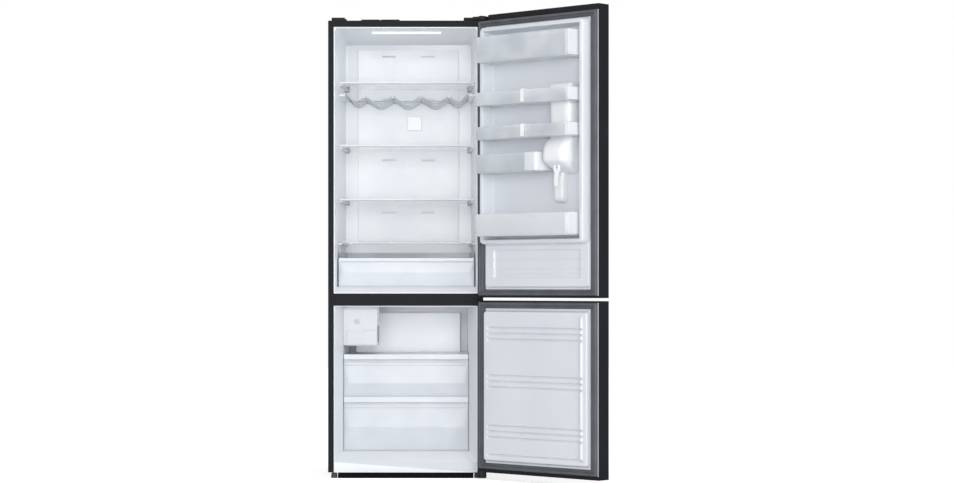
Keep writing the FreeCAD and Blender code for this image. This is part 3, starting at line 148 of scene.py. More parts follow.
def mouldedAbs(name, first, second, grain=0.7 * mm, depth=0.03 * mm, roughness=0.42, shine=0.5):
    # injection-moulded ABS with a fine spark-eroded grain
    material, tree, shader = startMaterial(name, Roughness=roughness, IOR=1.54, Specular_IOR_Level=shine)
    coords = surfaceGrain(tree, shader, grain, depth, 2.0, roughness - 0.06, roughness + 0.06)
    colourDrift(tree, shader, coords, 90 * mm, first, second)
    return material


def clearPolystyrene(name, tint, alpha, roughness=0.12):
    # crystal polystyrene, injection moulded: see-through with a soft flow pattern
    material, tree, shader = startMaterial(name, Roughness=roughness, IOR=1.59, Alpha=alpha)
    coords = surfaceGrain(tree, shader, 20 * mm, 0.04 * mm, 1.0, roughness - 0.04, roughness + 0.06)
    colourDrift(tree, shader, coords, 120 * mm, tint, "#f2f6fa")
    material.surface_render_method = "BLENDED"
    return material


def toughenedGlass():
    # float glass, toughened: clear, with a faint green in its thickness
    material, tree, shader = startMaterial("toughenedFloatGlass", Roughness=0.04, IOR=1.52, Alpha=0.28)
    coords = surfaceGrain(tree, shader, 120 * mm, 0.03 * mm, 0.0)
    colourDrift(tree, shader, coords, 200 * mm, "#dfe9ea", "#e8f0f1")
    material.surface_render_method = "BLENDED"
    return material


def chromedWire():
    # drawn steel wire, bright chrome plated: faint draw lines along it
    material, tree, shader = startMaterial("chromePlatedWire", Metallic=1.0)
    coords = surfaceGrain(tree, shader, 1.2 * mm, 0.01 * mm, 2.0, 0.28, 0.4)
    colourDrift(tree, shader, coords, 60 * mm, "#a3a8ae", "#b4b8bd")
    return material


def gasketRubber():
    # extruded soft PVC over a magnet strip: matt grey with faint lines of the extrusion
    material, tree, shader = startMaterial("extrudedSoftPvc", Roughness=0.55, IOR=1.52)
    coords = surfaceGrain(tree, shader, 1.0 * mm, 0.03 * mm, 2.0, 0.5, 0.62)
    colourDrift(tree, shader, coords, 80 * mm, "#505359", "#5a5d63")
    return material


def enamelledCan():
    # pressed steel can, black stoving enamel
    material, tree, shader = startMaterial("stovedEnamel", Roughness=0.28, IOR=1.5)
    coords = surfaceGrain(tree, shader, 2.0 * mm, 0.03 * mm, 2.0, 0.24, 0.36)
    colourDrift(tree, shader, coords, 40 * mm, "#141517", "#1b1c1f")
    return material


def rolledAluminium():
    # rolled aluminium fins: bright along the rolling direction
    material, tree, shader = startMaterial("rolledAluminium", Metallic=1.0)
    coords = addNode(tree, "ShaderNodeTexCoord")
    squeeze = addNode(tree, "ShaderNodeMapping", {"Scale": (40.0, 900.0, 900.0)},
                      {"Vector": coords.outputs["Object"]})
    noise = addNode(tree, "ShaderNodeTexNoise", {"Scale": 1.0, "Detail": 2.0},
                    {"Vector": squeeze.outputs["Vector"]})
    spread = addNode(tree, "ShaderNodeMapRange", {"To Min": 0.28, "To Max": 0.44},
                     {"Value": noise.outputs["Fac"]})
    tree.links.new(spread.outputs["Result"], shader.inputs["Roughness"])
    colourDrift(tree, shader, coords, 50 * mm, "#c9cbcd", "#d6d8da")
    return material


def rigidFoam():
    # cut polyurethane foam: matt, cream, with small open cells
    material, tree, shader = startMaterial("rigidPolyurethaneFoam", Roughness=0.9)
    coords = surfaceGrain(tree, shader, 1.5 * mm, 0.3 * mm, 3.0)
    colourDrift(tree, shader, coords, 30 * mm, "#e3d9b4", "#d8cc9f")
    return material


def lampDiffuser():
    # opal diffuser over the lamp strip: it glows evenly
    material, tree, shader = startMaterial("opalDiffuser", Roughness=0.35, IOR=1.49, Emission_Strength=0.55)
    shader.inputs["Emission Color"].default_value = linearColour("#f7fbff")
    coords = surfaceGrain(tree, shader, 3.0 * mm, 0.02 * mm)
    colourDrift(tree, shader, coords, 60 * mm, "#f2f5f9", "#f8fafc")
    return material


finish = {
    "steel": coatedSteel(),
    "zinc": galvanisedSteel(),
    "liner": formedPolystyrene("formedPolystyrene", "#f2f5f9", "#f7f9fc"),
    "doorLiner": formedPolystyrene("formedPolystyreneDoor", "#d9dde4", "#e0e4ea", 0.34),
    "freezerLiner": formedPolystyrene("formedPolystyreneFreezer", "#dde1e6", "#e3e6eb"),
    # a darker grey copy of the freezer lining's sheet: painted shade for its forward-facing foot flange
    "sill": formedPolystyrene("formedPolystyreneSillPaintedShade", "#c9ced4", "#cfd4d9", 0.42),
    "panel": mouldedAbs("mouldedAbsWhite", "#f0f3f8", "#f6f8fb", 1.1 * mm, 0.02 * mm, 0.36),
    "trim": mouldedAbs("mouldedAbsBright", "#f1f3f6", "#f7f8fa", 1.0 * mm, 0.01 * mm, 0.25),
    "drawerFront": mouldedAbs("mouldedPolystyreneDrawer", "#c6cbd3", "#cdd2d9", 2.0 * mm, 0.02 * mm, 0.3),
    "housing": mouldedAbs("mouldedAbsHousing", "#cbcfd5", "#d2d5da", 1.0 * mm, 0.02 * mm, 0.4),
    "cap": mouldedAbs("mouldedAbsEndCap", "#dadee3", "#e1e4e8", 1.0 * mm, 0.01 * mm, 0.3),
    "clip": mouldedAbs("mouldedAbsPaleGrey", "#b2b6bc", "#bbbfc4", 0.8 * mm, 0.02 * mm, 0.45),
    "foot": mouldedAbs("mouldedPolypropyleneGrey", "#3c3e42", "#45474b", 0.8 * mm, 0.05 * mm, 0.55, 0.3),
    "shelfPanel": mouldedAbs("mouldedPolystyreneShelf", "#d6dae0", "#dde1e6", 1.0 * mm, 0.02 * mm, 0.4),
    "dispenser": mouldedAbs("mouldedAbsDispenser", "#eceef1", "#f1f3f5", 1.0 * mm, 0.02 * mm, 0.3),
    "clear": clearPolystyrene("crystalPolystyreneBin", "#d4dae2", 0.42),
    "pale": clearPolystyrene("crystalPolystyrenePale", "#eef1f5", 0.52),
    "frosted": clearPolystyrene("frostedPolystyreneDrawer", "#e4e8ee", 0.62, 0.3),
    "glass": toughenedGlass(),
    "wire": chromedWire(),
    "gasket": gasketRubber(),
    "black": mouldedAbs("mouldedPolypropyleneBlack", "#17191c", "#1d1f22", 0.8 * mm, 0.05 * mm, 0.55, 0.2),
    # black polypropylene made darker than the other black mouldings: partly painted shade for the kickplate
    # under the cabinet
    "kickPaintedShade": mouldedAbs("mouldedPolypropyleneKickPaintedShade", "#060708", "#0a0b0c", 0.8 * mm, 0.05 * mm, 0.6, 0.06),
    "can": enamelledCan(),
    "fins": rolledAluminium(),
    "foam": rigidFoam(),
    "lamp": lampDiffuser(),
}
print("materials made")

# finish of each piece that keeps its CAD shape
nodeFinish = {"cabinet_foam": "foam", "evaporator": "fins", "wine_rack": "wire"}
for node, look in nodeFinish.items():
    for slot in frame["nodes"][node].material_slots:
        slot.material = finish[look]
print("CAD pieces finished")


# which body each node rides on
bodyOf = {}
for bodyName, bodyNodes in frame["record"]["behaviour"]["bodies"].items():
    for node in bodyNodes:
        bodyOf[node] = bodyName


def finishPiece(bm, name, look, body, onDoor=False, sharp=38.0):
    # writes a mesh that is drawn in place; door pieces are drawn shut and turned open here
    if onDoor:
        bmesh.ops.transform(bm, matrix=doorOpen, verts=bm.verts)
    bmesh.ops.recalc_face_normals(bm, faces=bm.faces)
    mesh = bpy.data.meshes.new(name)
    bm.to_mesh(mesh)
    bm.free()
    mesh.shade_smooth()
    mesh.set_sharp_from_angle(angle=math.radians(sharp))
    mesh.materials.append(finish[look])
    piece = bpy.data.objects.new(name, mesh)
    bpy.context.collection.objects.link(piece)
    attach(piece, body)
    return piece


rounding = {"merge": 0.01 * mm, "flat": math.radians(0.5), "segments": 2, "angle": math.radians(35.0)}


def softCopy(node, look, radius):
    # a CAD shape with its doubled corners merged and its sharp edges rounded over
    bm = bmesh.new()
    bm.from_mesh(frame["nodes"][node].data)
    bmesh.ops.remove_doubles(bm, verts=bm.verts, dist=rounding["merge"])
    bmesh.ops.dissolve_limit(bm, angle_limit=rounding["flat"], verts=bm.verts, edges=bm.edges)
    piece = finishPiece(bm, node + "_rounded", look, bodyOf[node])
    bevel = piece.modifiers.new("edgeRounding", "BEVEL")
    bevel.width = radius
    bevel.segments = rounding["segments"]
    bevel.limit_method = "ANGLE"
    bevel.angle_limit = rounding["angle"]
    bevel.harden_normals = True
    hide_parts(node)


def outlineRing(corners, radius, inset, steps=5):
    # a closed outline of square corners, drawn in by an inset, with each corner rounded
    ring = []
    count = len(corners)
    radii = radius if isinstance(radius, (list, tuple)) else [radius] * count
    for k in range(count):
        here = Vector(corners[k])
        before = (here - Vector(corners[k - 1])).normalized()
        after = (Vector(corners[(k + 1) % count]) - here).normalized()
        inward = Vector((-before.y, before.x)) + Vector((-after.y, after.x))
        corner = here + inward * inset
        turn = before.x * after.y - before.y * after.x
        size = max(radii[k] - inset, 0.3 * mm) if turn > 0 else radii[k] + inset
        start = corner - before * size
        centre = start + Vector((-before.y, before.x)) * size * (1 if turn > 0 else -1)
        for i in range(steps + 1):
            sweep = (math.pi / 2) * i / steps * (1 if turn > 0 else -1)
            arm = start - centre
            ring.append((centre.x + arm.x * math.cos(sweep) - arm.y * math.sin(sweep),
                         centre.y + arm.x * math.sin(sweep) + arm.y * math.cos(sweep)))
    return ring


def box2(left, right, low, high):
    # four corners of a rectangle, turning left all the way round
    return [(left, low), (right, low), (right, high), (left, high)]


def loftRings(bm, rings, capped=True):
    # joins closed rings of equal length into a skin, with a flat face at either end
    loops = [[bm.verts.new(point) for point in ring] for ring in rings]
    for first, second in zip(loops, loops[1:]):
        for k in range(len(first)):
            nxt = (k + 1) % len(first)
            bm.faces.new((first[k], first[nxt], second[nxt], second[k]))
    if capped:
        bm.faces.new(loops[0][::-1])
        bm.faces.new(loops[-1])


def upRings(corners, radius, levels):
    # rings for a piece that is built up in height; levels are (inset, z)
    return [[(x, y, z) for x, y in outlineRing(corners, radius, inset)] for inset, z in levels]


def outRings(corners, radius, levels):
    # rings for a piece that is built out towards the cabinet's inside; levels are (inset, y)
    return [[(x, y, z) for x, z in outlineRing(corners, radius, inset)] for inset, y in levels]


def trayLevels(low, high, wall, taper, foot):
    # outside up, over a rounded rim, and down the inside to the floor
    return [
        (foot + taper + 3 * mm, low), (foot * 0.45 + taper, low + 0.5 * mm),
        (foot * 0.12 + taper, low + foot * 0.45),
        (taper, low + foot), (taper * 0.3, high - 9 * mm), (0.9 * mm, high - 6 * mm), (0.0, high - 5 * mm),
        (0.0, high - 1.2 * mm), (0.5 * mm, high - 0.3 * mm), (1.1 * mm, high), (wall - 0.4 * mm, high),
        (wall + 0.1 * mm, high - 0.8 * mm), (wall + taper, low + foot + wall),
        (wall + foot * 0.45 + taper, low + wall + 0.8 * mm),
        (foot + taper + wall + 4 * mm, low + wall),
    ]


def heightSheet(bm, xs, zs, height):
    # a pressed sheet: a fine grid whose depth follows a rule
    rows = [[bm.verts.new((x, height(x, z), z)) for x in xs] for z in zs]
    for lower, upper in zip(rows, rows[1:]):
        for k in range(len(lower) - 1):
            bm.faces.new((lower[k], lower[k + 1], upper[k + 1], upper[k]))


def ease(value, low, high):
    # 0 below low, 1 above high, and a smooth step between
    t = min(1.0, max(0.0, (value - low) / (high - low)))
    return t * t * (3 - 2 * t)


def gridLines(low, high, marks, reach, fine, coarse):
    # even spacing, with finer lines near each mark
    lines = set()
    steps = max(1, round((high - low) / coarse))
    for k in range(steps + 1):
        lines.add(round(low + (high - low) * k / steps, 6))
    for mark in marks:
        count = max(2, round(2 * reach / fine))
        for k in range(count + 1):
            value = mark - reach + 2 * reach * k / count
            if low < value < high:
                lines.add(round(value, 6))
    ordered = sorted(lines)
    kept = [ordered[0]]
    for value in ordered[1:-1]:
        if value - kept[-1] > fine * 0.4:
            kept.append(value)
    kept.append(ordered[-1])
    return kept


def insideBox(x, z, half, low, high, radius):
    # how far a point lies inside a rectangle with rounded corners; negative outside
    dx = abs(x) - (half - radius)
    dz = abs(z - (low + high) / 2) - ((high - low) / 2 - radius)
    outside = math.hypot(max(dx, 0.0), max(dz, 0.0)) + min(max(dx, dz), 0.0)
    return radius - outside


# CAD shapes with rounded edges: finish, and radius of the rounding in millimetres
edgeRadius = {
    "cabinet_shell": ("steel", 0.5), "mid_rail": ("steel", 1.2), "fridge_liner": ("liner", 1.1),
    "freezer_liner": ("freezerLiner", 1.1), "lamp_lens": ("lamp", 1.4), "filter_cover": ("trim", 2.0),
    # the plinth's near-black finish is partly painted shade
    "machine_cover": ("zinc", 0.5), "base_plate": ("zinc", 0.5), "plinth": ("kickPaintedShade", 1.2),
    "top_covers": ("black", 1.6), "hinge_cover": ("black", 2.2), "top_hinge": ("steel", 0.8),
    "middle_hinge": ("steel", 0.8), "lower_hinge": ("steel", 0.8), "mains_inlet": ("black", 0.6),
    "shelf_glass_1": ("glass", 0.7), "shelf_glass_2": ("glass", 0.7), "shelf_glass_3": ("glass", 0.7),
    "crisper_cover": ("glass", 0.8), "freezer_shelf_upper": ("shelfPanel", 2.4),
    "freezer_shelf_lower": ("shelfPanel", 2.4), "upper_door_skin": ("steel", 0.45),
    "lower_door_skin": ("steel", 0.45), "upper_door_caps": ("black", 1.0),
    "lower_door_caps": ("black", 1.0), "bottle_holder_upper": ("trim", 0.5),
    "bottle_holder_lower": ("trim", 0.5), "fan_rotor": ("black", 0.5), "rear_rollers": ("black", 0.8),
    "ice_tray": ("panel", 0.6), "dispenser_lever": ("trim", 0.8), "ice_maker_housing": ("housing", 1.6),
    "freezer_duct_panel": ("panel", 1.1), "fridge_duct_panel": ("panel", 1.4), "compressor": ("can", 1.0),
}
for node, (look, radius) in edgeRadius.items():
    softCopy(node, look, radius * mm)
print("edges rounded")


# the freezer lining's foot flange: faces below this height that look forward, which get painted shade
sillFlange = {"top": 62.0 * mm, "facing": -0.9}


def shadeSillFlange():
    # the flange gets a duller, darker copy of the lining's skin: its grey is painted shade on the faces
    # that look forward
    mesh = bpy.data.objects["freezer_liner_rounded"].data
    mesh.materials.append(finish["sill"])
    for face in mesh.polygons:
        if face.center.z < sillFlange["top"] and face.normal.y < sillFlange["facing"]:
            face.material_index = 1


shadeSillFlange()


# small mouldings at the front of the cabinet: the lining's square rim, hinge covers and skirted feet
frontParts = {
    "openHalf": 277.8, "openLow": 714.2, "openHigh": 1743.8, "openCorner": 0.3,
    "mouthHalf": 275.3, "mouthLow": 716.7, "mouthHigh": 1741.3, "mouthCorner": 14.0,
    "rimFront": 0.2, "rimRear": 1.5,
    # left, right, front, rear, bottom and top of the two hinge covers
    "armCover": (281.0, 313.0, -38.0, -4.0, 1767.0, 1783.0),
    "footCover": (277.0, 312.0, -37.0, -3.0, 3.0, 33.0),
    "coverCorner": 11.0,
    # how far the covers are drawn in, by the height above the bottom and by the distance below the top
    "coverFoot": ((1.5, 0.0), (0.4, 0.5), (0.0, 1.6)),
    "coverHead": ((0.0, 4.0), (0.8, 1.6), (2.4, 0.4), (4.6, 0.0)),
    "footX": 277.0, "footY": 15.0, "footCorners": 48,
    # radius and height from the floor up
    "footProfile": ((10.6, 0.0), (11.7, 1.0), (12.0, 2.2), (12.0, 7.0), (11.6, 8.2), (11.3, 9.0),
                    (11.3, 18.4), (10.8, 19.4), (9.6, 19.9), (4.4, 20.0), (4.0, 20.6)),
    "gripLow": 8.5, "gripHigh": 19.5, "grip": 0.5,
    "threads": 26, "threadFoot": 21.4, "threadPitch": 0.7, "threadRoot": 3.4, "threadRise": 0.6,
    "stemFoot": ((4.0, 20.8),), "stemTop": ((3.2, 39.8), (2.6, 40.0)),
}


def makeMouthRim():
    # white rim that fills the lining's rounded corners out to the square opening of the wrapper
    v = frontParts
    square = box2(-v["openHalf"] * mm, v["openHalf"] * mm, v["openLow"] * mm, v["openHigh"] * mm)
    mouth = box2(-v["mouthHalf"] * mm, v["mouthHalf"] * mm, v["mouthLow"] * mm, v["mouthHigh"] * mm)
    tight, wide = v["openCorner"] * mm, v["mouthCorner"] * mm
    mouthRadii = [tight, tight, wide, wide]
    rings = []
    for corners, radii, y in ((square, tight, v["rimRear"]), (square, tight, v["rimFront"]),
                              (mouth, mouthRadii, v["rimFront"]), (mouth, mouthRadii, v["rimRear"])):
        rings.append([(x, y * mm, z) for x, z in outlineRing(corners, radii, 0.0)])
    bm = bmesh.new()
    loftRings(bm, rings, False)
    finishPiece(bm, "fridgeMouthRim", "liner", bodyOf["fridge_liner"])


def makeHingeCovers():
    # rounded caps over the noses of the top and the lowest hinge
    v = frontParts
    for name, key, node in (("topHingeNoseCover", "armCover", "hinge_cover"),
                            ("lowerHingeNoseCover", "footCover", "lower_hinge")):
        left, right, front, rear, low, high = [value * mm for value in v[key]]
        levels = [(inset * mm, low + up * mm) for inset, up in v["coverFoot"]]
        levels += [(inset * mm, high - down * mm) for inset, down in v["coverHead"]]
        bm = bmesh.new()
        loftRings(bm, upRings(box2(left, right, front, rear), v["coverCorner"] * mm, levels))
        finishPiece(bm, name, "black", bodyOf[node])


def footRing(side, radius, z, grip=0.0):
    # a ring round a foot's axis; the grip draws in every second pair of its corners
    v = frontParts
    ring = []
    for k in range(v["footCorners"]):
        turn = k * math.pi * 2 / v["footCorners"]
        reach = (radius - (grip if k % 4 > 1 else 0.0)) * mm
        ring.append((side * v["footX"] * mm + reach * math.cos(turn),
                     v["footY"] * mm + reach * math.sin(turn), z * mm))
    return ring


def makeFeet():
    # skirted levelling feet with shallow grips, on a threaded stem
    v = frontParts
    threads = tuple((v["threadRoot"] + v["threadRise"] * (k % 2), v["threadFoot"] + v["threadPitch"] * k)
                    for k in range(v["threads"]))
    for side, node in ((-1, "front_foot_left"), (1, "front_foot_right")):
        rings = [footRing(side, radius, z, v["grip"] if v["gripLow"] < z < v["gripHigh"] else 0.0)
                 for radius, z in v["footProfile"]]
        rings += [footRing(side, radius, z) for radius, z in v["stemFoot"] + threads + v["stemTop"]]
        bm = bmesh.new()
        loftRings(bm, rings)
        piece = finishPiece(bm, node + "_turned", "foot", bodyOf[node])
        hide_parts(node)


# rear panel: zinc-coated sheet with shallow pressed lines that stiffen it
rearPanel = {
    "margin": 38.0 * mm, "corner": 30.0 * mm, "width": 2.4 * mm, "depth": 0.45 * mm,
    "ribs": (-90.0 * mm, 90.0 * mm), "ribEnd": 90.0 * mm, "fade": 6.0 * mm,
    "reach": 7.0 * mm, "fine": 1.2 * mm, "coarse": 8.0 * mm,
}


def makeRearPanel():
    v = rearPanel
    low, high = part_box("rear_panel")
    middle = (low[2] + high[2]) / 2

    def depth(x, z):
        ring = insideBox(x, z, high[0] - v["margin"], low[2] + v["margin"], high[2] - v["margin"],
                         v["corner"])
        press = math.exp(-(ring / v["width"]) ** 2)
        along = ease((high[2] - low[2]) / 2 - v["ribEnd"] - abs(z - middle), 0.0, v["fade"])
        for rib in v["ribs"]:
            press = max(press, along * math.exp(-((x - rib) / v["width"]) ** 2))
        return high[1] - v["depth"] * press

    edge = high[0] - v["margin"]
    seams = [low[2] + v["margin"], high[2] - v["margin"],
             low[2] + v["ribEnd"] + v["fade"] / 2, high[2] - v["ribEnd"] - v["fade"] / 2]
    xs = gridLines(low[0], high[0], [-edge, edge] + list(v["ribs"]), v["reach"], v["fine"], v["coarse"])
    zs = gridLines(low[2], high[2], seams, v["reach"], v["fine"], v["coarse"])
    bm = bmesh.new()
    heightSheet(bm, xs, zs, depth)
    heightSheet(bm, [xs[0], xs[-1]], [zs[0], zs[-1]], lambda x, z: low[1])
    piece = finishPiece(bm, "rearPanelPressed", "zinc", bodyOf["rear_panel"], False,
                        60.0)
    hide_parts("rear_panel")


makeMouthRim()
makeRearPanel()
makeHingeCovers()
makeFeet()
print("rim, hinge covers and feet made")


# upper door lining: one vacuum-formed sheet over foam
upperLining = {
    "plateHalf": 298.5 * mm, "plateLow": 706.5 * mm, "plateHigh": 1761.5 * mm, "plate": -12.0 * mm,
    "half": 262.0 * mm, "low": 897.0 * mm, "high": 1736.0 * mm, "corner": 22.0 * mm,
    "crest": 30.0 * mm, "rise": 8.0 * mm, "crestEnd": 20.0 * mm, "fall": 10.0 * mm, "recess": -25.0 * mm,
    "step": 14.0 * mm, "stepDepth": 0.8 * mm, "stepWidth": 1.0 * mm,
    "padLow": 736.0 * mm, "pad": -4.0 * mm, "padRise": 6.0 * mm, "padCorner": 12.0 * mm,
    # the shallow field in the pad below the crest, and the ribs pressed into it
    "padMargin": 44.0 * mm, "padRecess": -10.0 * mm, "fieldFoot": 34.0 * mm, "fieldHead": 14.0 * mm,
    "fieldCorner": 10.0 * mm, "fieldFall": 9.0 * mm,
    "padRibs": (788.0 * mm, 806.0 * mm, 842.0 * mm), "ribDepth": 2.2 * mm, "ribWidth": 2.4 * mm,
    "ribMargin": 30.0 * mm, "ribFade": 12.0 * mm,
    "sheet": 2.5 * mm, "foamBack": -68.0 * mm,
    # where the grid is finer: distances in from the edge, and heights
    "fineSteps": (4.0 * mm, 14.0 * mm, 25.0 * mm), "fineHeights": (739.0 * mm, 774.5 * mm, 878.5 * mm),
    "fine": 1.5 * mm,
}


def upperLiningDepth(x, z):
    v = upperLining
    pad = insideBox(x, z, v["half"], v["padLow"], v["high"], v["padCorner"])
    depth = v["plate"] + (v["pad"] - v["plate"]) * ease(pad, 0.0, v["padRise"])
    if z < v["low"] + v["padCorner"]:
        field = insideBox(x, z, v["half"] - v["padMargin"], v["padLow"] + v["fieldFoot"],
                          v["low"] - v["fieldHead"], v["fieldCorner"])
        depth += (v["padRecess"] - v["pad"]) * ease(field, 0.0, v["fieldFall"])
        reach = ease(v["half"] - v["ribMargin"] - abs(x), 0.0, v["ribFade"])
        for rib in v["padRibs"]:
            depth -= v["ribDepth"] * math.exp(-((z - rib) / v["ribWidth"]) ** 2) * reach
    ring = insideBox(x, z, v["half"], v["low"], v["high"], v["corner"])
    up = ease(ring, 0.0, v["rise"])
    down = ease(ring, v["crestEnd"], v["crestEnd"] + v["fall"])
    depth += (v["crest"] - depth) * up
    depth += (v["recess"] - v["crest"]) * down
    # a fine step runs round the crest where the tool's insert ends
    depth -= v["stepDepth"] * math.exp(-((ring - v["step"]) / v["stepWidth"]) ** 2)
    return depth


def foamDepth(depth, x, z, sheet):
    # the foam lies one sheet thickness behind the lining, also where the lining is steep
    around = [depth(x + a, z + b) for a, b in ((0, 0), (sheet, 0), (-sheet, 0), (0, sheet), (0, -sheet))]
    return min(around) - sheet


# the linings' grid: how far the finer lines reach from a mark, and the spacing elsewhere
doorGrid = {"reachX": 8.0 * mm, "reachZ": 9.0 * mm, "coarse": 12.0 * mm}


def makeDoorSheets(name, node, foam, body, v, depth, xMarks, zMarks, fine):
    xs = gridLines(-v["plateHalf"], v["plateHalf"], xMarks, doorGrid["reachX"], fine, doorGrid["coarse"])
    zs = gridLines(v["plateLow"], v["plateHigh"], zMarks, doorGrid["reachZ"], fine, doorGrid["coarse"])
    bm = bmesh.new()
    heightSheet(bm, xs, zs, depth)
    piece = finishPiece(bm, name + "Lining", "doorLiner", body, True, 60.0)
    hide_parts(node)
    bm = bmesh.new()
    heightSheet(bm, xs, zs, lambda x, z: foamDepth(depth, x, z, v["sheet"]))
    heightSheet(bm, [xs[0], xs[-1]], [zs[0], zs[-1]], lambda x, z: v["foamBack"])
    piece = finishPiece(bm, name + "Foam", "foam", body, True, 60.0)
    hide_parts(foam)


def bothSides(marks):
    return [side * mark for side in (-1, 1) for mark in marks]


def makeUpperLining():
    v = upperLining
    sides = [v["half"] - step for step in v["fineSteps"] + (v["padMargin"],)]
    heights = [v["low"] + step for step in v["fineSteps"]] + [v["high"] - step for step in v["fineSteps"]]
    makeDoorSheets("upperDoor", "upper_door_liner", "upper_door_foam", "upper_door", v, upperLiningDepth,
                   bothSides(sides), heights + list(v["fineHeights"] + v["padRibs"]), v["fine"])


# lower door lining: a raised pad with three groups of pressed grooves and a single one
lowerLining = {
    "plateHalf": 298.5 * mm, "plateLow": 40.5 * mm, "plateHigh": 680.5 * mm, "plate": -12.0 * mm,
    "half": 262.0 * mm, "low": 70.0 * mm, "high": 651.0 * mm, "corner": 16.0 * mm,
    "pad": 8.0 * mm, "rise": 8.0 * mm,
    "groups": (562.0 * mm, 379.0 * mm, 187.0 * mm), "pitch": 22.0 * mm, "single": 98.0 * mm,
    "grooveHalf": 240.0 * mm, "grooveDepth": 7.5 * mm, "grooveFade": 6.0 * mm, "grooveReach": 18.0 * mm,
    "above": 2.0 * mm, "below": 5.4 * mm,
    "ridge": 232.0 * mm, "ridgeRise": 6.0 * mm, "ridgeWidth": 5.5 * mm,
    "ridgeFoot": (22.0 * mm, 30.0 * mm), "ridgeHead": (18.0 * mm, 26.0 * mm),
    "sheet": 2.5 * mm, "foamBack": -68.0 * mm, "fineStep": 4.0 * mm, "fine": 1.3 * mm,
}


def lowerGrooves():
    v = lowerLining
    return [v["single"]] + [middle + k * v["pitch"] for middle in v["groups"] for k in (-1, 0, 1)]


def lowerLiningDepth(x, z):
    v = lowerLining
    pad = insideBox(x, z, v["half"], v["low"], v["high"], v["corner"])
    depth = v["plate"] + (v["pad"] - v["plate"]) * ease(pad, 0.0, v["rise"])
    fade = ease(v["grooveHalf"] - abs(x), 0.0, v["grooveFade"])
    # each groove drops sharply at its top edge and runs out slowly below it
    for middle in lowerGrooves():
        if abs(z - middle) < v["grooveReach"]:
            width = v["above"] if z > middle else v["below"]
            depth -= v["grooveDepth"] * fade * math.exp(-((z - middle) / width) ** 2)
    # an upright ridge near the free side closes the grooves
    tall = ease(z - v["low"], *v["ridgeFoot"]) * ease(v["high"] - z, *v["ridgeHead"])
    depth += v["ridgeRise"] * tall * math.exp(-((x + v["ridge"]) / v["ridgeWidth"]) ** 2)
    return depth


def makeLowerLining():
    v = lowerLining
    heights = [v["low"] + v["fineStep"], v["high"] - v["fineStep"]] + [z - 2 * mm for z in lowerGrooves()]
    makeDoorSheets("lowerDoor", "lower_door_liner", "lower_door_foam", "lower_door", v, lowerLiningDepth,
                   bothSides([v["half"] - v["fineStep"], v["grooveHalf"] - v["fineStep"]]), heights,
                   v["fine"])


makeUpperLining()
makeLowerLining()
print("door linings formed")


# magnetic gaskets: a flat foot, a bellows and a soft magnet bulb
gasketForm = {
    "half": 295.0 * mm, "corner": 3.0 * mm, "upper": (706.0 * mm, 1762.0 * mm),
    "lower": (40.0 * mm, 681.0 * mm),
    "finInner": 262.4 * mm, "finOuter": 271.6 * mm, "finRear": -12.0 * mm, "finFront": -9.6 * mm,
    "finEnd": 22.0 * mm, "finCorner": 0.8 * mm, "finEdge": 0.5 * mm,
    # inset from the outer edge, and depth, from the outer foot over the bulb to the inner foot
    "profile": ((0.0, -12.0), (0.2, -10.8), (2.4, -10.0), (3.0, -8.6), (2.0, -7.4), (1.6, -5.0),
                (2.0, -2.2), (3.4, -0.8), (5.2, -0.5), (9.0, -0.5), (10.6, -1.0), (11.6, -2.4),
                (11.4, -4.4), (12.6, -5.6), (14.6, -5.2), (16.6, -3.6), (18.6, -3.4), (19.8, -4.6),
                (20.2, -7.4), (21.6, -9.4), (23.6, -10.6), (24.0, -12.0)),
}


def makeGasket(name, node, body, low, high):
    v = gasketForm
    corners = box2(-v["half"], v["half"], low, high)
    rings = outRings(corners, v["corner"], [(inset * mm, depth * mm) for inset, depth in v["profile"]])
    bm = bmesh.new()
    loftRings(bm, rings, False)
    # a flat fin reaches from each upright run to the foot of the lining's pad
    for side in (-1, 1):
        near, far = sorted((side * v["finInner"], side * v["finOuter"]))
        levels = [(0.0, v["finRear"]), (0.0, v["finFront"] - v["finEdge"]), (v["finEdge"], v["finFront"])]
        fin = box2(near, far, low + v["finEnd"], high - v["finEnd"])
        loftRings(bm, outRings(fin, v["finCorner"], levels))
    piece = finishPiece(bm, name, "gasket", body, True, 50.0)
    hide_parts(node)


makeGasket("upperDoorGasket", "upper_door_gasket", "upper_door", *gasketForm["upper"])
makeGasket("lowerDoorGasket", "lower_door_gasket", "lower_door", *gasketForm["lower"])
print("gaskets extruded")


# door bins: clear trays with white end caps; the short bin's cap wraps round its front corner
bins = {
    "half": 231.0 * mm, "back": -24.7 * mm, "front": 90.0 * mm, "corner": 14.0 * mm, "tab": 3.0 * mm,
    "wall": 2.5 * mm, "taper": 1.5 * mm, "foot": 12.0 * mm, "notchFoot": 4.0 * mm, "shortEnd": -82.0 * mm,
    "notchLeft": -205.5 * mm, "notchRight": -79.5 * mm, "notchFront": 37.5 * mm,
    # bottom and top of each bin, from the top one down
    "levels": ((1590, 1688), (1425, 1476), (1296, 1346), (1169, 1241), (930, 1015)),
    "capThick": 3.4 * mm, "capProud": 1.0 * mm, "capFront": 80.0 * mm, "wrap": 54.0 * mm,
    "wrapProud": 0.6 * mm, "capEdge": 1.6 * mm, "wrapInner": 9.0 * mm, "wrapOuter": 13.0 * mm,
    # how far a cap is drawn in, by its height above the bin's bottom and then from the bin's top
    "capFoot": ((1.2, 5.0), (0.3, 5.4), (0.0, 7.0)),
    "capHead": ((0.0, -1.0), (0.4, 0.4), (1.4, 0.9)),
}


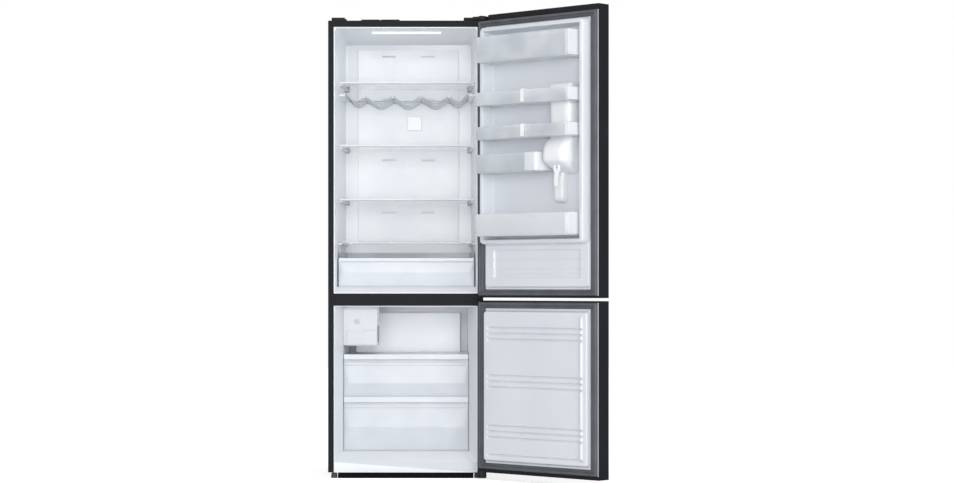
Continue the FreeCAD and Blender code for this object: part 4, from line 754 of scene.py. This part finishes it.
def binOutline(k):
    v = bins
    left = v["shortEnd"] if k == 3 else -v["half"]
    if k not in (1, 2):
        return box2(left, v["half"], v["back"], v["front"]), [v["tab"], v["tab"], v["corner"], v["corner"]]
    corners = [(left, v["back"]), (v["notchLeft"], v["back"]), (v["notchLeft"], v["notchFront"]),
               (v["notchRight"], v["notchFront"]), (v["notchRight"], v["back"]), (v["half"], v["back"]),
               (v["half"], v["front"]), (left, v["front"])]
    return corners, [v["tab"]] * 6 + [v["corner"]] * 2


def wrappedCap(outer, inner):
    # the end cap that turns the corner and runs along the front wall
    v = bins
    face, rear, edge = v["front"] + v["wrapProud"], v["front"] - v["capThick"], v["capEdge"]
    corners = [(outer, v["back"]), (inner, v["back"]), (inner, rear), (inner + v["wrap"], rear),
               (inner + v["wrap"], face), (outer, face)]
    return corners, [edge, edge, v["wrapInner"], edge, edge, v["wrapOuter"]]


def makeBins():
    v = bins
    for k, (low, high) in enumerate(v["levels"]):
        corners, radii = binOutline(k)
        foot = v["notchFoot"] if k in (1, 2) else v["foot"]
        node = "door_bin_%d" % (k + 1)
        body = bodyOf[node]
        bm = bmesh.new()
        loftRings(bm, upRings(corners, radii, trayLevels(low * mm, high * mm, v["wall"], v["taper"], foot)))
        look = "pale" if k == 4 else "clear"
        tray = finishPiece(bm, "doorBin%d" % (k + 1), look, body, True)
        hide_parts(node)
        bm = bmesh.new()
        left = corners[0][0]
        for outer, inner in ((left - v["capProud"], left + v["capThick"]),
                             (v["half"] - v["capThick"], v["half"] + v["capProud"])):
            ends, capRadii = box2(outer, inner, v["back"], v["capFront"]), v["capEdge"]
            if k == 3 and outer < 0:
                ends, capRadii = wrappedCap(outer, inner)
            levels = [(inset * mm, low * mm + up * mm) for inset, up in v["capFoot"]]
            levels += [(inset * mm, high * mm + up * mm) for inset, up in v["capHead"]]
            loftRings(bm, upRings(ends, capRadii, levels))
        finishPiece(bm, "doorBin%dEndCaps" % (k + 1), "cap", body, True)


makeBins()
print("door bins moulded")


# water dispenser inside the upper door
# each section: height, left, right, front and corner radius, in millimetres
dispenser = {
    "back": -24.7, "backCorner": 1.0,
    "head": ((1500, -186, -99, 2, 6), (1499.3, -191, -94, 12, 9), (1496, -195, -90, 21, 12),
             (1489, -198.5, -86.5, 28, 14), (1475, -200, -85, 31, 24), (1400, -200, -85, 32, 34),
             (1305, -200, -85, 32, 34), (1294, -200, -85, 33, 32), (1287, -200, -85, 41, 30),
             (1280, -200, -85, 50, 29), (1270, -200, -85, 59, 26), (1256, -200, -85, 67, 28),
             (1238, -200, -85, 71, 30), (1222, -200, -85, 72, 30), (1211, -199.5, -85.5, 70.5, 29),
             (1204, -198, -87, 66, 27), (1199, -196, -89, 59, 25), (1192, -194, -91, 46, 22),
             (1184, -192, -93, 31, 18), (1174, -190, -95, 12, 14), (1166, -188, -97, -4, 9),
             (1163, -184, -101, -12, 5)),
    "column": ((1168, -139, -93, 2, 8), (1166, -139, -93, 4, 10), (1075, -138, -94, 4, 10),
               (1062, -136, -96, 1, 9), (1056, -132, -100, -8, 7), (1054, -128, -104, -16, 4)),
    # the lever's two ears: middles, half thickness, front to back, bottom and top
    "ears": (-131.5, -152.5), "earHalf": 1.5, "earDepth": (34, 46), "earLow": 1167, "earHigh": 1196,
    "earCorner": 1.2, "earEdge": (0.6, 0.8),
    # the nozzle's axis, then its radius and height from the inside of its mouth up
    "nozzleAt": (-142.0, 28.0), "nozzleCorners": 24,
    "nozzle": ((3.4, 1169), (3.4, 1166), (4.5, 1165.6), (5.0, 1166.4), (5.0, 1190)),
}


def makeDispenser():
    v = dispenser
    bm = bmesh.new()
    for sections in (v["head"], v["column"]):
        rings = []
        for z, left, right, front, radius in sections:
            corners = box2(left * mm, right * mm, v["back"] * mm, front * mm)
            radii = [v["backCorner"] * mm, v["backCorner"] * mm, radius * mm, radius * mm]
            rings.append([(x, y, z * mm) for x, y in outlineRing(corners, radii, 0.0, 8)])
        loftRings(bm, rings)
    piece = finishPiece(bm, "waterDispenser", "dispenser", "upper_door", True,
                        50.0)
    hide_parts("dispenser_housing")
    # the lever's ears and the nozzle under the chin
    bm = bmesh.new()
    inset, up = v["earEdge"]
    levels = [(inset * mm, v["earLow"] * mm), (0.0, v["earLow"] * mm + up * mm), (0.0, v["earHigh"] * mm)]
    for middle in v["ears"]:
        left, right = middle - v["earHalf"], middle + v["earHalf"]
        corners = [(a * mm, b * mm) for a, b in box2(left, right, *v["earDepth"])]
        loftRings(bm, upRings(corners, v["earCorner"] * mm, levels))
    x, y = v["nozzleAt"]
    rings = []
    for radius, z in v["nozzle"]:
        turns = [a * math.pi * 2 / v["nozzleCorners"] for a in range(v["nozzleCorners"])]
        rings.append([(x * mm + radius * mm * math.cos(a), y * mm + radius * mm * math.sin(a), z * mm)
                      for a in turns])
    loftRings(bm, rings)
    finishPiece(bm, "dispenserNozzle", "trim", "upper_door", True)


makeDispenser()
print("dispenser moulded")


# half the width between the fridge's side walls: at the front, and how much it narrows over a depth
fridgeWalls = {"half": 275.5, "narrowing": 20.0, "over": 500.0}


def fridgeWall(y):
    v = fridgeWalls
    return (v["half"] - v["narrowing"] * y / v["over"]) * mm


def profileRings(profile, stations):
    # the same side view at several stations from left to right; a station may shrink it about its middle
    middleY = sum(y for y, z in profile) / len(profile)
    middleZ = sum(z for y, z in profile) / len(profile)
    return [[(x, middleY + (y - middleY) * size, middleZ + (z - middleZ) * size) for y, z in profile]
            for x, size in stations]


def turnRings(x, z, profile, steps=32):
    # rings about an axis that runs from front to back; profile points are (radius, y)
    turns = [k * 2 * math.pi / steps for k in range(steps)]
    return [[(x + radius * math.cos(a), y, z + radius * math.sin(a)) for a in turns]
            for radius, y in profile]


# shelf trims: a rounded nose with a slanted underside, and a clip at each rear corner
shelves = {
    "heights": (1541.3, 1293.3, 1080.3),
    # side view of the trim: depth, and height above the shelf's seat
    "nose": ((190, 4.1), (190, 7.0), (175, 7.0), (172, 6.6), (170.4, 5.2), (170.1, 3.6), (171.6, 1.6),
             (177, -1.0), (183.6, -2.0), (190, -2.0), (190, -0.2), (184.6, -0.2), (184.2, 4.1)),
    "noseFront": 170.0, "sideGap": 2.0, "noseEnd": 1.5, "endSize": 0.8,
    "clipFront": 474.0, "clipRear": 486.0, "clipIn": 14.0, "clipGap": 3.0, "clipLow": -10.0,
    "clipHigh": 14.0, "clipCorner": 2.0, "clipInset": 1.5, "clipEdge": 2.0,
}


def makeShelfTrims():
    v = shelves
    for k, height in enumerate(v["heights"]):
        node = "shelf_trim_%d" % (k + 1)
        half = fridgeWall(v["noseFront"]) - v["sideGap"] * mm
        profile = [(y * mm, (height + z) * mm) for y, z in v["nose"]]
        bm = bmesh.new()
        inner = half - v["noseEnd"] * mm
        stations = ((-half, v["endSize"]), (-inner, 1.0), (inner, 1.0), (half, v["endSize"]))
        loftRings(bm, profileRings(profile, stations))
        piece = finishPiece(bm, "shelfTrim%d" % (k + 1), "trim", bodyOf[node])
        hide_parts(node)
        bm = bmesh.new()
        edge = fridgeWall(v["clipRear"]) - v["clipGap"] * mm
        low, high = height + v["clipLow"], height + v["clipHigh"]
        levels = [(v["clipInset"] * mm, low * mm), (0.0, (low + v["clipEdge"]) * mm),
                  (0.0, (high - v["clipEdge"]) * mm), (v["clipInset"] * mm, high * mm)]
        for side in (-1, 1):
            near, far = sorted((side * edge, side * (edge - v["clipIn"] * mm)))
            corners = box2(near, far, v["clipFront"] * mm, v["clipRear"] * mm)
            loftRings(bm, upRings(corners, v["clipCorner"] * mm, levels))
        finishPiece(bm, "shelfRearClips%d" % (k + 1), "clip", bodyOf[node])


makeShelfTrims()
print("shelf trims moulded")


# drawer fronts: a shallow crease divides each one into a lighter and a darker half
drawerFronts = {
    # node, half width, bottom, crease, top, front plane, and how far the crease stands out
    "fronts": {
        "crisper": ("crisper_drawer", 263.0, 744.0, 796.0, 838.0, 111.8, 3.0),
        "freezerUpper": ("freezer_drawer_upper", 241.5, 316.0, 364.0, 446.0, 77.8, 2.6),
        "freezerLower": ("freezer_drawer_lower", 241.5, 104.0, 193.0, 281.0, 77.8, 2.6),
    },
    "corner": 7.0, "lip": 0.9, "lipRise": 3.0, "creaseRise": 10.0, "edgeRadius": 1.0,
    # the grids: reach of the finer lines, their spacing, and the spacing elsewhere
    "gridX": (6.0 * mm, 1.2 * mm, 20.0 * mm), "gridZ": (5.0 * mm, 1.2 * mm, 10.0 * mm),
}


def drawerFrontDepth(x, z, half, low, crease, high, plane, proud):
    v = drawerFronts
    inside = insideBox(x, z, half * mm, low * mm, high * mm, v["corner"] * mm)
    above = (high * mm - z) / ((high - crease) * mm)
    below = (z - low * mm) / ((crease - low) * mm)
    bulge = proud * mm * max(0.0, min(above, below))
    lip = v["lip"] * mm * ease(inside, 0.0, v["lipRise"] * mm)
    return plane * mm - lip - bulge * ease(inside, 0.0, v["creaseRise"] * mm)


def makeDrawerFronts():
    for name, (node, *form) in drawerFronts["fronts"].items():
        half, low, crease, high = [value * mm for value in form[:4]]
        xs = gridLines(-half, half, [-half, half], *drawerFronts["gridX"])
        zs = gridLines(low, high, [low, crease, high], *drawerFronts["gridZ"])
        bm = bmesh.new()
        heightSheet(bm, xs, zs, lambda x, z: drawerFrontDepth(x, z, *form))
        finishPiece(bm, name + "DrawerFront", "drawerFront", bodyOf[node], False, 50.0)
    for front in drawerFronts["fronts"].values():
        softCopy(front[0], "frosted", drawerFronts["edgeRadius"] * mm)


makeDrawerFronts()
print("drawers moulded")


# ice maker: round knob with a finger bar, and the ice box's own front below it
iceMaker = {
    "x": -189.0, "z": 605.2,
    # the knob's radius and depth from its rear to its front, then the finger bar across it
    "knob": ((8.6, 61.6), (9.0, 60.6), (9.0, 55.4), (8.6, 54.3), (7.6, 53.8), (6.4, 54.6)),
    "barHalf": 2.2, "barLong": 8.0, "barCorner": 2.1,
    "bar": ((0.0, 55.5), (0.0, 49.2), (0.5, 48.0), (1.4, 47.7)),
    "frontLeft": -231.0, "frontRight": -115.0, "frontLow": 514.0, "frontHigh": 572.0, "plane": 61.8,
    "frontCorner": 5.0, "frontEdge": 1.6, "edgeRise": 2.5,
    "gripHalf": 28.0, "gripFade": 8.0, "gripFrom": 16.0, "gripTo": 8.0, "gripDepth": 1.4,
    "flangeLeft": -244.2, "flangeRight": -233.6, "flangeFront": 63.0, "flangeRear": 66.0,
    "gridX": (30.0 * mm, 1.5 * mm, 4.0 * mm), "gridZ": (18.0 * mm, 1.2 * mm, 4.0 * mm),
    "flangeCorner": 0.6, "flange": ((0.3, 513.0), (0.0, 514.0), (0.0, 661.0), (0.3, 662.0)),
}


def makeIceKnob():
    v = iceMaker
    x, z = v["x"] * mm, v["z"] * mm
    bm = bmesh.new()
    loftRings(bm, turnRings(x, z, [(radius * mm, y * mm) for radius, y in v["knob"]]))
    half, long = v["barHalf"] * mm, v["barLong"] * mm
    levels = [(inset * mm, y * mm) for inset, y in v["bar"]]
    loftRings(bm, outRings(box2(x - half, x + half, z - long, z + long), v["barCorner"] * mm, levels))
    piece = finishPiece(bm, "iceKnob", "housing", "ice_twister")
    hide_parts("ice_knob")


def makeIceBoxFront():
    # the lower box's front, a hair proud of the housing, with a finger hollow along its top
    v = iceMaker
    left, right, low, high = [v[key] * mm for key in ("frontLeft", "frontRight", "frontLow", "frontHigh")]
    middle = (left + right) / 2

    def depth(x, z):
        inside = insideBox(x - middle, z, (right - left) / 2, low, high, v["frontCorner"] * mm)
        grip = ease(z, high - v["gripFrom"] * mm, high - v["gripTo"] * mm)
        grip *= ease(v["gripHalf"] * mm - abs(x - v["x"] * mm), 0.0, v["gripFade"] * mm)
        edge = v["frontEdge"] * mm * ease(inside, 0.0, v["edgeRise"] * mm)
        return v["plane"] * mm - edge + v["gripDepth"] * mm * grip

    ends = [middle - v["gripHalf"] * mm, middle + v["gripHalf"] * mm]
    xs = gridLines(left, right, ends, *v["gridX"])
    zs = gridLines(low, high, [high, low], *v["gridZ"])
    bm = bmesh.new()
    heightSheet(bm, xs, zs, depth)
    # a flange closes the gap between the box and the lining
    flange = box2(v["flangeLeft"] * mm, v["flangeRight"] * mm, v["flangeFront"] * mm, v["flangeRear"] * mm)
    levels = [(inset * mm, z * mm) for inset, z in v["flange"]]
    loftRings(bm, upRings(flange, v["flangeCorner"] * mm, levels))
    finishPiece(bm, "iceBoxFront", "housing", bodyOf["ice_maker_housing"])


makeIceKnob()
makeIceBoxFront()
print("ice maker moulded")


stage = {"floor": 12.0, "lift": 0.62, "background": 1.0}


def makeFloor():
    mesh = bpy.data.meshes.new("studioFloor")
    bm = bmesh.new()
    bmesh.ops.create_grid(bm, x_segments=1, y_segments=1, size=stage["floor"])
    bm.to_mesh(mesh)
    bm.free()
    floor = bpy.data.objects.new("studioFloor", mesh)
    bpy.context.collection.objects.link(floor)
    # a pale matt paper sweep: seen directly it is lifted to white, and the shadow stays on it
    material, tree, shader = startMaterial("paperSweep", Roughness=0.9, Specular_IOR_Level=0.0)
    shader.inputs["Base Color"].default_value = linearColour("#e8e8e8")
    shader.inputs["Emission Color"].default_value = (1.0, 1.0, 1.0, 1.0)
    path = addNode(tree, "ShaderNodeLightPath")
    direct = addNode(tree, "ShaderNodeMath", {"operation": "MAXIMUM"})
    tree.links.new(path.outputs["Is Camera Ray"], direct.inputs[0])
    tree.links.new(path.outputs["Is Transmission Ray"], direct.inputs[1])
    lift = addNode(tree, "ShaderNodeMath", {"operation": "MULTIPLY"})
    tree.links.new(direct.outputs[0], lift.inputs[0])
    lift.inputs[1].default_value = stage["lift"]
    tree.links.new(lift.outputs[0], shader.inputs["Emission Strength"])
    mesh.materials.append(material)


def makeWorld():
    world = bpy.data.worlds.new("studioLight")
    bpy.context.scene.world = world
    world.use_nodes = True
    tree = world.node_tree
    tree.nodes.clear()
    path = addNode(tree, "ShaderNodeLightPath")
    seen = addNode(tree, "ShaderNodeMath", {"operation": "MAXIMUM"})
    tree.links.new(path.outputs["Is Camera Ray"], seen.inputs[0])
    tree.links.new(path.outputs["Is Transmission Ray"], seen.inputs[1])
    light = addNode(tree, "ShaderNodeBackground",
                    {"Color": (1.0, 1.0, 1.0, 1.0), "Strength": studio["world"]})
    white = addNode(tree, "ShaderNodeBackground",
                    {"Color": (1.0, 1.0, 1.0, 1.0), "Strength": stage["background"]})
    mix = addNode(tree, "ShaderNodeMixShader", {}, {"Fac": seen.outputs[0]})
    tree.links.new(light.outputs[0], mix.inputs[1])
    tree.links.new(white.outputs[0], mix.inputs[2])
    addNode(tree, "ShaderNodeOutputWorld", {}, {"Surface": mix.outputs[0]})


studio = {
    "world": 0.66,
    "front": {"at": (0.2, -9.4, 1.6), "to": (0.1, 0.0, 0.9), "wide": 4.0, "high": 4.0, "power": 360.0},
    "top": {"at": (0.2, -1.6, 5.0), "to": (0.2, 0.2, 0.8), "wide": 3.0, "high": 3.0, "power": 12.0},
    "right": {"at": (6.0, -7.0, 1.6), "to": (0.0, 0.2, 0.9), "wide": 2.5, "high": 2.5, "power": 170.0},
    # the lamp under the ceiling lens, and a soft glow under the freezer's ceiling
    "fridge": {"at": (0.0, 0.129, 1.732), "to": (0.0, 0.30, 1.2), "wide": 0.26, "high": 0.02,
               "power": 0.12},
    "freezer": {"at": (0.05, 0.12, 0.655), "to": (0.05, 0.36, 0.5), "wide": 0.3, "high": 0.03,
                "power": 0.18},
}


def makeLamp(name, values):
    data = bpy.data.lights.new(name, "AREA")
    data.shape = "RECTANGLE"
    data.size = values["wide"]
    data.size_y = values["high"]
    data.energy = values["power"]
    lamp = bpy.data.objects.new(name, data)
    bpy.context.collection.objects.link(lamp)
    lamp.location = values["at"]
    aim = Vector(values["to"]) - Vector(values["at"])
    lamp.rotation_euler = aim.to_track_quat("-Z", "Y").to_euler()


makeFloor()
makeWorld()
for name in ("front", "top", "right", "fridge", "freezer"):
    makeLamp(name + "Softbox", studio[name])

viewpoint = {"at": (0.21, -8.892, 0.743), "lens": 86.8, "sensor": 36.0, "shiftX": 0.0178, "shiftY": 0.0466}


def makeCamera():
    data = bpy.data.cameras.new("viewer")
    data.lens = viewpoint["lens"]
    data.sensor_width = viewpoint["sensor"]
    data.shift_x = viewpoint["shiftX"]
    data.shift_y = viewpoint["shiftY"]
    camera = bpy.data.objects.new("viewer", data)
    bpy.context.collection.objects.link(camera)
    camera.location = viewpoint["at"]
    camera.rotation_euler = (math.radians(90.0), 0.0, 0.0)
    bpy.context.scene.camera = camera


makeCamera()
bpy.context.scene.view_settings.view_transform = "Standard"
